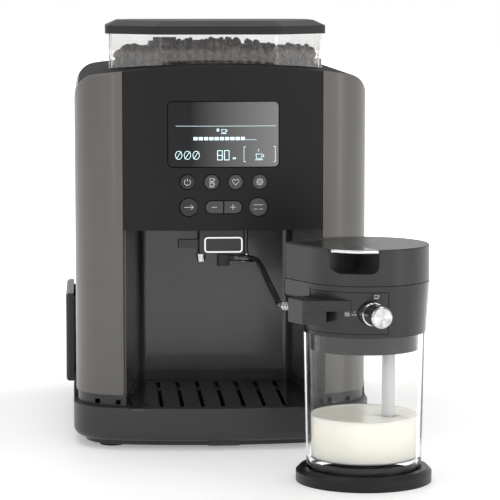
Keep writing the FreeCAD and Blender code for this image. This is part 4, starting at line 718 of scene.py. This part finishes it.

# %% [markdown]
# The milk hose is soft silicone from the spout's nozzle to the fitting on the carafe. A NURBS curve
# through the part's own route hangs smoothly. Its ends belong to two bodies, but the hose is one
# mesh tied to neither of them.

# %% Milk hose
HOSE_D = 5.5
HOSE_ROUTE = (
    (9.3, -154.0, 158.25),
    (26.5, -154.0, 158.25),
    (28.6, -194.0, 155.0),
    (31.2, -232.0, 147.9),
    (33.8, -268.0, 141.4),
    (34.48, -303.72, 138.5),
    (37.67, -306.9, 138.5),
)
route = [at(*spot) for spot in HOSE_ROUTE]
hose_data = bpy.data.curves.new("hose_line", "CURVE")
hose_data.dimensions = "3D"
hose_data.resolution_u = 16
hose_spline = hose_data.splines.new("NURBS")
hose_spline.points.add(len(route) - 1)
for point, spot in zip(hose_spline.points, route):
    point.co = (*spot, 1)
hose_spline.order_u = 3
hose_spline.use_endpoint_u = True
hose_line = bpy.data.objects.new("hose_line", hose_data)
scene.collection.objects.link(hose_line)
centre_line = [tuple(v.co) for v in evaluated_mesh(hose_line).vertices]
hose_data.bevel_depth = HOSE_D / 2 / MM_PER_M
hose_data.bevel_resolution = 6
hose_data.use_fill_caps = True
hose_mesh = evaluated_mesh(hose_line)
bpy.data.objects.remove(hose_line)
hose = link_mesh("milk_hose_tube", hose_mesh, SILICONE, None)
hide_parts("milk_hose")
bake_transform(hose)
print("hose points:", len(centre_line))


# %% [markdown]
# Roasted beans are the one lively thing on the machine. A bean has a round back and a flat belly
# with a crease. Hundreds are needed, so it has only a few dozen faces and smooth shading does the
# rest. Beans that no one can see, deep in the heap, are left out.

# %% One bean and its finish
BEAN_HALF_SIZE = (4.9, 3.5, 3.1)
BELLY_SHARE = 0.45
CREASE_DEPTH = 0.3
CREASE_HALF_W = 0.16
ROAST_DARK = (0.02, 0.012, 0.009)
ROAST_LIGHT = (0.085, 0.05, 0.036)
ROAST_SCALE = 160.0
OIL_SCALE = 500.0
OIL_SMOOTHEST = 0.3
OIL_ROUGHEST = 0.5
PIT_SCALE = 700.0
PIT_RELIEF = 0.3
PIT_DEPTH = 0.0002


def bean_mesh():
    half_x, half_y, half_z = BEAN_HALF_SIZE
    shape = bmesh.new()
    bmesh.ops.create_uvsphere(shape, u_segments=10, v_segments=6, radius=1.0)
    for v in shape.verts:
        belly = max(0.0, -v.co.z)
        v.co.z = v.co.z if v.co.z > 0 else v.co.z * BELLY_SHARE
        v.co.z += CREASE_DEPTH * belly * math.exp(-((v.co.y / CREASE_HALF_W) ** 2))
        v.co = Vector((v.co.x * half_x, v.co.y * half_y, v.co.z * half_z)) / MM_PER_M
    return closed_mesh("bean", shape)


def bean_finish():
    material, tree, shader = new_material("roasted_bean")
    cloudy_colour(tree, shader, ROAST_SCALE, ROAST_DARK, ROAST_LIGHT)
    uneven_gloss(tree, shader, OIL_SCALE, OIL_SMOOTHEST, OIL_ROUGHEST)
    add_bump(tree, shader, noise(tree, PIT_SCALE), PIT_RELIEF, PIT_DEPTH)
    return material


ROASTED = bean_finish()

# %% [markdown]
# The heap fills the hopper up to its window and falls off a little towards the sides. The points
# lie in layers and stay clear of the walls and of the grind knob.

# %% Heap of beans
HEAP_FLOOR = 310.5
HEAP_TOP = 331.0
HEAP_FALL = 7.0
LAYER = 5.1
BEAN_PITCH = 7.4
KNOB_AT = Vector((-44.0, -40.0))
KNOB_ROOM = 21.0
HEAP_HALF_W = 84.0
HEAP_FRONT_HALF_W = 44.0
HEAP_FRONT_Y = -82.0
FRONT_SLOPE = 42.0 / 46.0
HEAP_REAR_HALF_W = 68.0
HEAP_REAR_Y = 42.0
REAR_SLOPE = 18.0 / 22.0
WALL_GAP = 1.0
FIRST_ROW_Y = -80.0
HEAP_DEPTH = 122.0
SHAKE = 0.8
ROW_SHAKE = 0.6
TOP_SHAKE = 2.6
SEEN_LAYERS = 2.5
SEEN_DEPTH = 9.0


def half_width(y):
    """Half the room between the hopper's side walls at y, less a bean's length."""
    front = HEAP_FRONT_HALF_W + (y - HEAP_FRONT_Y) * FRONT_SLOPE
    rear = HEAP_REAR_HALF_W + (HEAP_REAR_Y - y) * REAR_SLOPE
    return min(HEAP_HALF_W, front, rear) - WALL_GAP


def shaken(reach):
    return random.uniform(-reach, reach)


def heap_points():
    spots = []
    for layer in range(int((HEAP_TOP - HEAP_FLOOR) / LAYER) + 1):
        for row in range(int(HEAP_DEPTH / BEAN_PITCH) + 1):
            y = FIRST_ROW_Y + row * BEAN_PITCH
            room = half_width(y)
            count = int(2 * room / BEAN_PITCH)
            for i in range(count + 1):
                x = max(-room, min(room, -room + 2 * room * i / count + shaken(SHAKE)))
                top = HEAP_TOP - HEAP_FALL * (x / HEAP_HALF_W) ** 2 + shaken(TOP_SHAKE)
                z = HEAP_FLOOR + layer * LAYER + shaken(SHAKE)
                from_wall = min(room - abs(x), y - FIRST_ROW_Y, HEAP_REAR_Y - y)
                deep = z < top - SEEN_LAYERS * LAYER and from_wall > SEEN_DEPTH
                if z > top or deep or (Vector((x, y)) - KNOB_AT).length < KNOB_ROOM:
                    continue
                spots.append(at(x, y + shaken(ROW_SHAKE), z))
    return spots


beans = copy_on_points(
    "beans", heap_points(), bean_mesh(),
    Smallest=0.85, Largest=1.1, Turn=2 * math.pi, Seed=3, Finish=ROASTED,
)
link_mesh("coffee_beans", beans, ROASTED, "machine")


# %% [markdown]
# Milk is turned like a pot on a wheel: a profile of radii and heights swept about the jar's axis,
# with a low meniscus where it meets the glass. Light goes a little way into milk, so the finish has
# subsurface scattering. The suction tube gets its room by a Boolean modifier, which is applied.

# %% Milk in the jar
JAR_BOTTOM_R = 44.4
JAR_TOP_R = 46.7
JAR_WALL = 4.0
JAR_FOOT_Z = 5.0
JAR_FLOOR_Z = 18.7
MILK_TOP = 51.2
MILK_FILM = 0.12
MILK_FOOT_R = 1.5
MILK_FOOT_H = 1.6
MENISCUS = ((0.0, 1.0), (1.2, 0.3), (4.0, 0.0))
MILK_MIDDLE_R = 7.0
MILK_DARK = (0.92, 0.88, 0.77)
MILK_LIGHT = (0.94, 0.9, 0.81)
MILK_CLOUD_SCALE = 30.0
MILK_SCATTER = 0.014
MILK_SCATTER_RGB = (1.0, 0.9, 0.75)
MILK_GLOSS_SCALE = 80.0
MILK_SMOOTHEST = 0.15
MILK_ROUGHEST = 0.25
TUBE_PLACE = (CARAFE_X + 18.0, CARAFE_Y - 8.0)
TUBE_R = 5.15
TUBE_LOW = 22.6
TUBE_HIGH = MILK_TOP + 10
TUBE_STEPS = 32


def milk_finish():
    material, tree, shader = new_material("milk")
    cloudy_colour(tree, shader, MILK_CLOUD_SCALE, MILK_DARK, MILK_LIGHT)
    shader.inputs["Subsurface Weight"].default_value = 1.0
    shader.inputs["Subsurface Scale"].default_value = MILK_SCATTER
    shader.inputs["Subsurface Radius"].default_value = MILK_SCATTER_RGB
    uneven_gloss(tree, shader, MILK_GLOSS_SCALE, MILK_SMOOTHEST, MILK_ROUGHEST)
    return material


def lathe(name, profile, centre, steps=72):
    """A closed solid of revolution about a vertical axis, from (radius, height) pairs."""
    x, y = centre
    turns = [2 * math.pi * i / steps for i in range(steps)]
    rings = []
    for radius, height in profile:
        rings.append([at(x + radius * math.cos(t), y + radius * math.sin(t), height) for t in turns])
    return skin(name, rings)


def jar_inside_r(z):
    grown = (JAR_TOP_R - JAR_BOTTOM_R) * (z - JAR_FOOT_Z) / (HEAD_Z0 - JAR_FOOT_Z)
    return JAR_BOTTOM_R - JAR_WALL + grown - MILK_FILM


milk_floor_r = jar_inside_r(JAR_FLOOR_Z)
milk_top_r = jar_inside_r(MILK_TOP)
milk_profile = [
    (milk_floor_r - MILK_FOOT_R, JAR_FLOOR_Z + MILK_FILM),
    (milk_floor_r, JAR_FLOOR_Z + MILK_FOOT_H),
    (milk_top_r, MILK_TOP),
]
milk_profile += [(milk_top_r - inwards, MILK_TOP + rise) for inwards, rise in MENISCUS]
milk_profile.append((MILK_MIDDLE_R, MILK_TOP))
milk_solid = lathe("milk", milk_profile, (CARAFE_X, CARAFE_Y))
milk = link_mesh("milk_fill", milk_solid, milk_finish(), "carafe")
tube_solid = lathe("tube_room", [(TUBE_R, TUBE_LOW), (TUBE_R, TUBE_HIGH)], TUBE_PLACE, TUBE_STEPS)
tube_room = bpy.data.objects.new("tube_room", tube_solid)
scene.collection.objects.link(tube_room)
cut = milk.modifiers.new("tube_room", "BOOLEAN")
cut.object = tube_room
cut.operation = "DIFFERENCE"
milk_cut = evaluated_mesh(milk)
milk.modifiers.remove(cut)
milk.data = milk_cut
bpy.data.objects.remove(tube_room)
print("milk faces:", len(milk_cut.polygons))

# %% [markdown]
# The flap over the carafe's finger notch catches a bright highlight along its front edge. The
# highlight is painted: a thin strip of pale metal swept along the lid's round edge, one
# cross-section after another.

# %% Painted highlight on the lip of the flap
TONGUE_TURN = math.radians(27.0)
LIP_R = 49.75
LIP_SECTION = ((0.0, 181.7), (0.0, 184.1), (0.6, 184.1), (0.6, 181.7))
LIP_X0 = -44.6
LIP_X1 = -18.0
LIP_STEPS = 24
lip_turn = Matrix.Rotation(TONGUE_TURN, 2)
sections = []
for x in steps_between(LIP_X0, LIP_X1, LIP_STEPS):
    section = []
    for sunk, z in LIP_SECTION:
        spot = lip_turn @ Vector((x, -math.sqrt((LIP_R - sunk) ** 2 - x**2)))
        section.append(at(CARAFE_X + spot.x, CARAFE_Y + spot.y, z))
    sections.append(section)
# Pale satin metal for the strip that paints the lip's highlight.
LIP_HIGHLIGHT = metal("lip_painted_highlight", grey(0.9), 0.3)
link_mesh("flap_lip", skin("flap_lip", sections), LIP_HIGHLIGHT, "carafe_flap")
print("lip sections:", len(sections))

# %% [markdown]
# The end of the dial was turned on a lathe, so its gloss fans out in wedges. That is anisotropy:
# the highlight is stretched across the turning marks. The shader needs to know that direction at
# each point, so the disc gets a UV map whose U runs out from the middle.

# %% Turned face of the dial
DIAL_TURN = math.radians(12.7)
DIAL_L = 25.0
DIAL_X = -0.6
DIAL_Z = 136.6
FACE_STEPS = 64
FACE_ANISOTROPY = 0.95
FACE_RINGS = ((0.2, 0.1), (2.4, 0.12), (4.8, 0.16), (6.3, 0.22), (6.8, 0.42), (7.15, 0.3), (7.15, 0.0))


def turned_metal():
    material = metal("turned_face", grey(0.62), 0.3)
    tree = material.node_tree
    shader = tree.nodes["Principled BSDF"]
    shader.inputs["Anisotropic"].default_value = FACE_ANISOTROPY
    tangent = node(tree, "ShaderNodeTangent", direction_type="UV_MAP", uv_map="outwards")
    tree.links.new(tangent.outputs["Tangent"], shader.inputs["Tangent"])
    return material


def dial_face():
    """A shallow dished disc with a fine raised rim, stood on the dial's end."""
    axis = Vector((math.sin(DIAL_TURN), -math.cos(DIAL_TURN), 0))
    seat = at(CARAFE_X + DIAL_X, CARAFE_Y - math.sqrt(HEAD_R**2 - DIAL_X**2), DIAL_Z)
    turned = axis.to_track_quat("Z", "Y").to_matrix().to_4x4()
    stand = Matrix.Translation(seat + axis * DIAL_L / MM_PER_M) @ turned
    shape = bmesh.new()
    outwards = shape.loops.layers.uv.new("outwards")
    turns = [2 * math.pi * i / FACE_STEPS for i in range(FACE_STEPS)]
    rings = []
    for radius, height in FACE_RINGS:
        flat = [Vector((radius * math.cos(t), radius * math.sin(t), height)) / MM_PER_M for t in turns]
        rings.append([shape.verts.new(stand @ spot) for spot in flat])
    for k, (inner, outer) in enumerate(zip(rings, rings[1:])):
        for i in range(FACE_STEPS):
            j = (i + 1) % FACE_STEPS
            face = shape.faces.new((inner[i], outer[i], outer[j], inner[j]))
            for loop, (out, turn) in zip(face.loops, ((k, i), (k + 1, i), (k + 1, i + 1), (k, i + 1))):
                loop[outwards].uv = (out / len(rings), turn / FACE_STEPS)
    shape.faces.new(rings[0])
    shape.faces.new(list(reversed(rings[-1])))
    return closed_mesh("dial_face", shape)


link_mesh("dial_face", dial_face(), turned_metal(), "carafe_dial")
print("dial face rings:", len(FACE_RINGS))

# %% [markdown]
# Inside the chrome frame on the spout sits a plain satin plate. It stays bare. A rounded outline is
# filled and given its thickness, which is all that a flat plate needs.

# %% Plate in the spout's frame
PLATE_HALF_W = 14.3
PLATE_Z0 = 164.5
PLATE_Z1 = 174.5
PLATE_R = 1.8
PLATE_PROUD = 0.5
SPOUT_FRONT_Y = -156.0
outline = rounded_rectangle(PLATE_HALF_W, PLATE_Z0, PLATE_Z1, PLATE_R)
plate_faces = [[at(x, y, z) for x, z in outline] for y in (SPOUT_FRONT_Y - PLATE_PROUD, SPOUT_FRONT_Y)]
SATIN = moulded("plate_satin_grey", grey(0.24), 0.35, grain=1500.0, relief=0.05)
link_mesh("badge_plate", skin("badge_plate", plate_faces), SATIN, "spout")
print("plate corners:", len(outline))

# %% [markdown]
# The floor is white paper. More lamps would burn out the object before the paper turns white, so
# the paper glows a little, and only for the camera and for reflections: Light Path tells these rays
# apart. Near the object the glow is weak, which keeps its shadow.

# %% White floor
FLOOR_HALF = 12.0
PAPER_WHITE = 0.88
PAPER_ROUGHNESS = 0.5
GLOW_NEAR = 0.28
GLOW_FAR = 0.75
GLOW_LEAST = 0.32
GLOW_MOST = 0.9
floor_mesh = bpy.data.meshes.new("floor")
corners = [Vector((x, y, 0)) * FLOOR_HALF for x, y in ((-1, -1), (1, -1), (1, 1), (-1, 1))]
floor_mesh.from_pydata(corners, [], [(0, 1, 2, 3)])
floor = bpy.data.objects.new("floor", floor_mesh)
scene.collection.objects.link(floor)
floor_finish, paper, paper_shader = new_material("floor_white")
paper_shader.inputs["Base Color"].default_value = (*grey(PAPER_WHITE), 1)
paper_shader.inputs["Roughness"].default_value = PAPER_ROUGHNESS
paper_shader.inputs["Emission Color"].default_value = (1, 1, 1, 1)


def combine(tree, operation, first, second):
    """Two sources added or multiplied, kept between 0 and 1."""
    made = node(tree, "ShaderNodeMath", operation=operation, use_clamp=True)
    tree.links.new(first, made.inputs[0])
    tree.links.new(second, made.inputs[1])
    return made.outputs["Value"]


def seen_directly(tree, kinds):
    """1 for the kinds of ray that should see the white surroundings, else 0."""
    path = node(tree, "ShaderNodeLightPath")
    total = path.outputs[kinds[0]]
    for kind in kinds[1:]:
        total = combine(tree, "ADD", total, path.outputs[kind])
    return total


place = node(paper, "ShaderNodeTexCoord")
far = node(paper, "ShaderNodeVectorMath", operation="LENGTH")
paper.links.new(place.outputs["Object"], far.inputs[0])
glow = spread(paper, far.outputs["Value"], GLOW_LEAST, GLOW_MOST, GLOW_NEAR, GLOW_FAR)
onlookers = seen_directly(paper, ("Is Camera Ray", "Is Glossy Ray", "Is Transmission Ray"))
paper.links.new(combine(paper, "MULTIPLY", glow, onlookers), paper_shader.inputs["Emission Strength"])
floor_mesh.materials.append(floor_finish)
print("floor half width in metres:", FLOOR_HALF)

# %% [markdown]
# A studio is bright behind the object and dim behind the camera. The world does the same: its
# strength rises from front to back, so the round black carafe gets dark and light bands. Rays from
# the camera and through glass see plain white, as the paper backdrop would look. Reflections see
# that white too, but only where they run to the back, since there is no paper behind the camera.

# %% Studio surroundings
STUDIO_FRONT = 0.22
STUDIO_BACK = 0.6
STUDIO_TURN = (-0.8, 0.6)
PAPER_TURN = (0.3, 0.9)
world = bpy.data.worlds.new("studio")
scene.world = world
world.use_nodes = True
sky = world.node_tree
backdrop = sky.nodes["Background"]
backdrop.inputs["Color"].default_value = (1, 1, 1, 1)
studio = node(sky, "ShaderNodeBackground")
studio.inputs["Color"].default_value = (1, 1, 1, 1)
way = node(sky, "ShaderNodeTexCoord")
way_parts = node(sky, "ShaderNodeSeparateXYZ")
sky.links.new(way.outputs["Generated"], way_parts.inputs["Vector"])
to_back = way_parts.outputs["Y"]
level = spread(sky, to_back, STUDIO_FRONT, STUDIO_BACK, *STUDIO_TURN)
sky.links.new(level, studio.inputs["Strength"])
behind = spread(sky, to_back, 0.0, 1.0, *PAPER_TURN)
mirrored = combine(sky, "MULTIPLY", behind, seen_directly(sky, ("Is Glossy Ray",)))
white = combine(sky, "ADD", seen_directly(sky, ("Is Camera Ray", "Is Transmission Ray")), mirrored)
shown_sky = node(sky, "ShaderNodeMixShader")
sky.links.new(white, shown_sky.inputs["Fac"])
sky.links.new(studio.outputs["Background"], shown_sky.inputs[1])
sky.links.new(backdrop.outputs["Background"], shown_sky.inputs[2])
sky.links.new(shown_sky.outputs["Shader"], sky.nodes["World Output"].inputs["Surface"])
print("studio strength front and back:", STUDIO_FRONT, STUDIO_BACK)


# %% [markdown]
# Softboxes are area lamps. Tall narrow ones at the sides draw the upright highlights on the
# carafe and the panels, one in front fills the cup bay, and one above lights the lid.

# %% Softboxes
LIT_POINT = at(20, -60, 170)


def softbox(name, offset, width, height, power):
    data = bpy.data.lights.new(name, "AREA")
    data.shape = "RECTANGLE"
    data.size = width
    data.size_y = height
    data.energy = power
    light = bpy.data.objects.new(name, data)
    scene.collection.objects.link(light)
    light.location = LIT_POINT + Vector(offset)
    light.rotation_euler = (-Vector(offset)).to_track_quat("-Z", "Y").to_euler()
    print("softbox:", name, "watts", power)


softbox("key_left", (-1.7, -1.2, 0.9), 0.9, 1.7, 3.5)
softbox("edge_left", (-1.1, -1.9, 0.5), 0.1, 1.5, 2.5)
softbox("strip_right", (1.75, -1.3, 0.4), 0.45, 1.7, 9)
softbox("edge_right", (1.0, -2.0, 0.7), 0.1, 1.5, 2)
softbox("front", (0.3, -2.4, 1.2), 1.4, 0.8, 13)
softbox("top", (0.0, 0.1, 1.9), 2.2, 1.6, 16)

# %% [markdown]
# The camera was found by fitting the machine's corners to the photograph: a long lens, a little to
# the left of the middle and slightly above, looking down by about six degrees.

# %% Camera
YAW = math.radians(3.8)
PITCH = math.radians(6.30)
LENS_MM = 172.8
SENSOR_MM = 36.0
CLIP_END = 50
CAMERA_PLACE = (-108.1, -2115.3, 381.5)
camera_data = bpy.data.cameras.new("camera")
camera_data.lens = LENS_MM
camera_data.sensor_width = SENSOR_MM
camera_data.clip_end = CLIP_END
camera = bpy.data.objects.new("camera", camera_data)
scene.collection.objects.link(camera)
camera.location = at(*CAMERA_PLACE)
forward = Vector((math.sin(YAW) * math.cos(PITCH), math.cos(YAW) * math.cos(PITCH), -math.sin(PITCH)))
camera.rotation_euler = forward.to_track_quat("-Z", "Y").to_euler()
scene.camera = camera
print("camera at:", [round(v, 3) for v in camera.location])
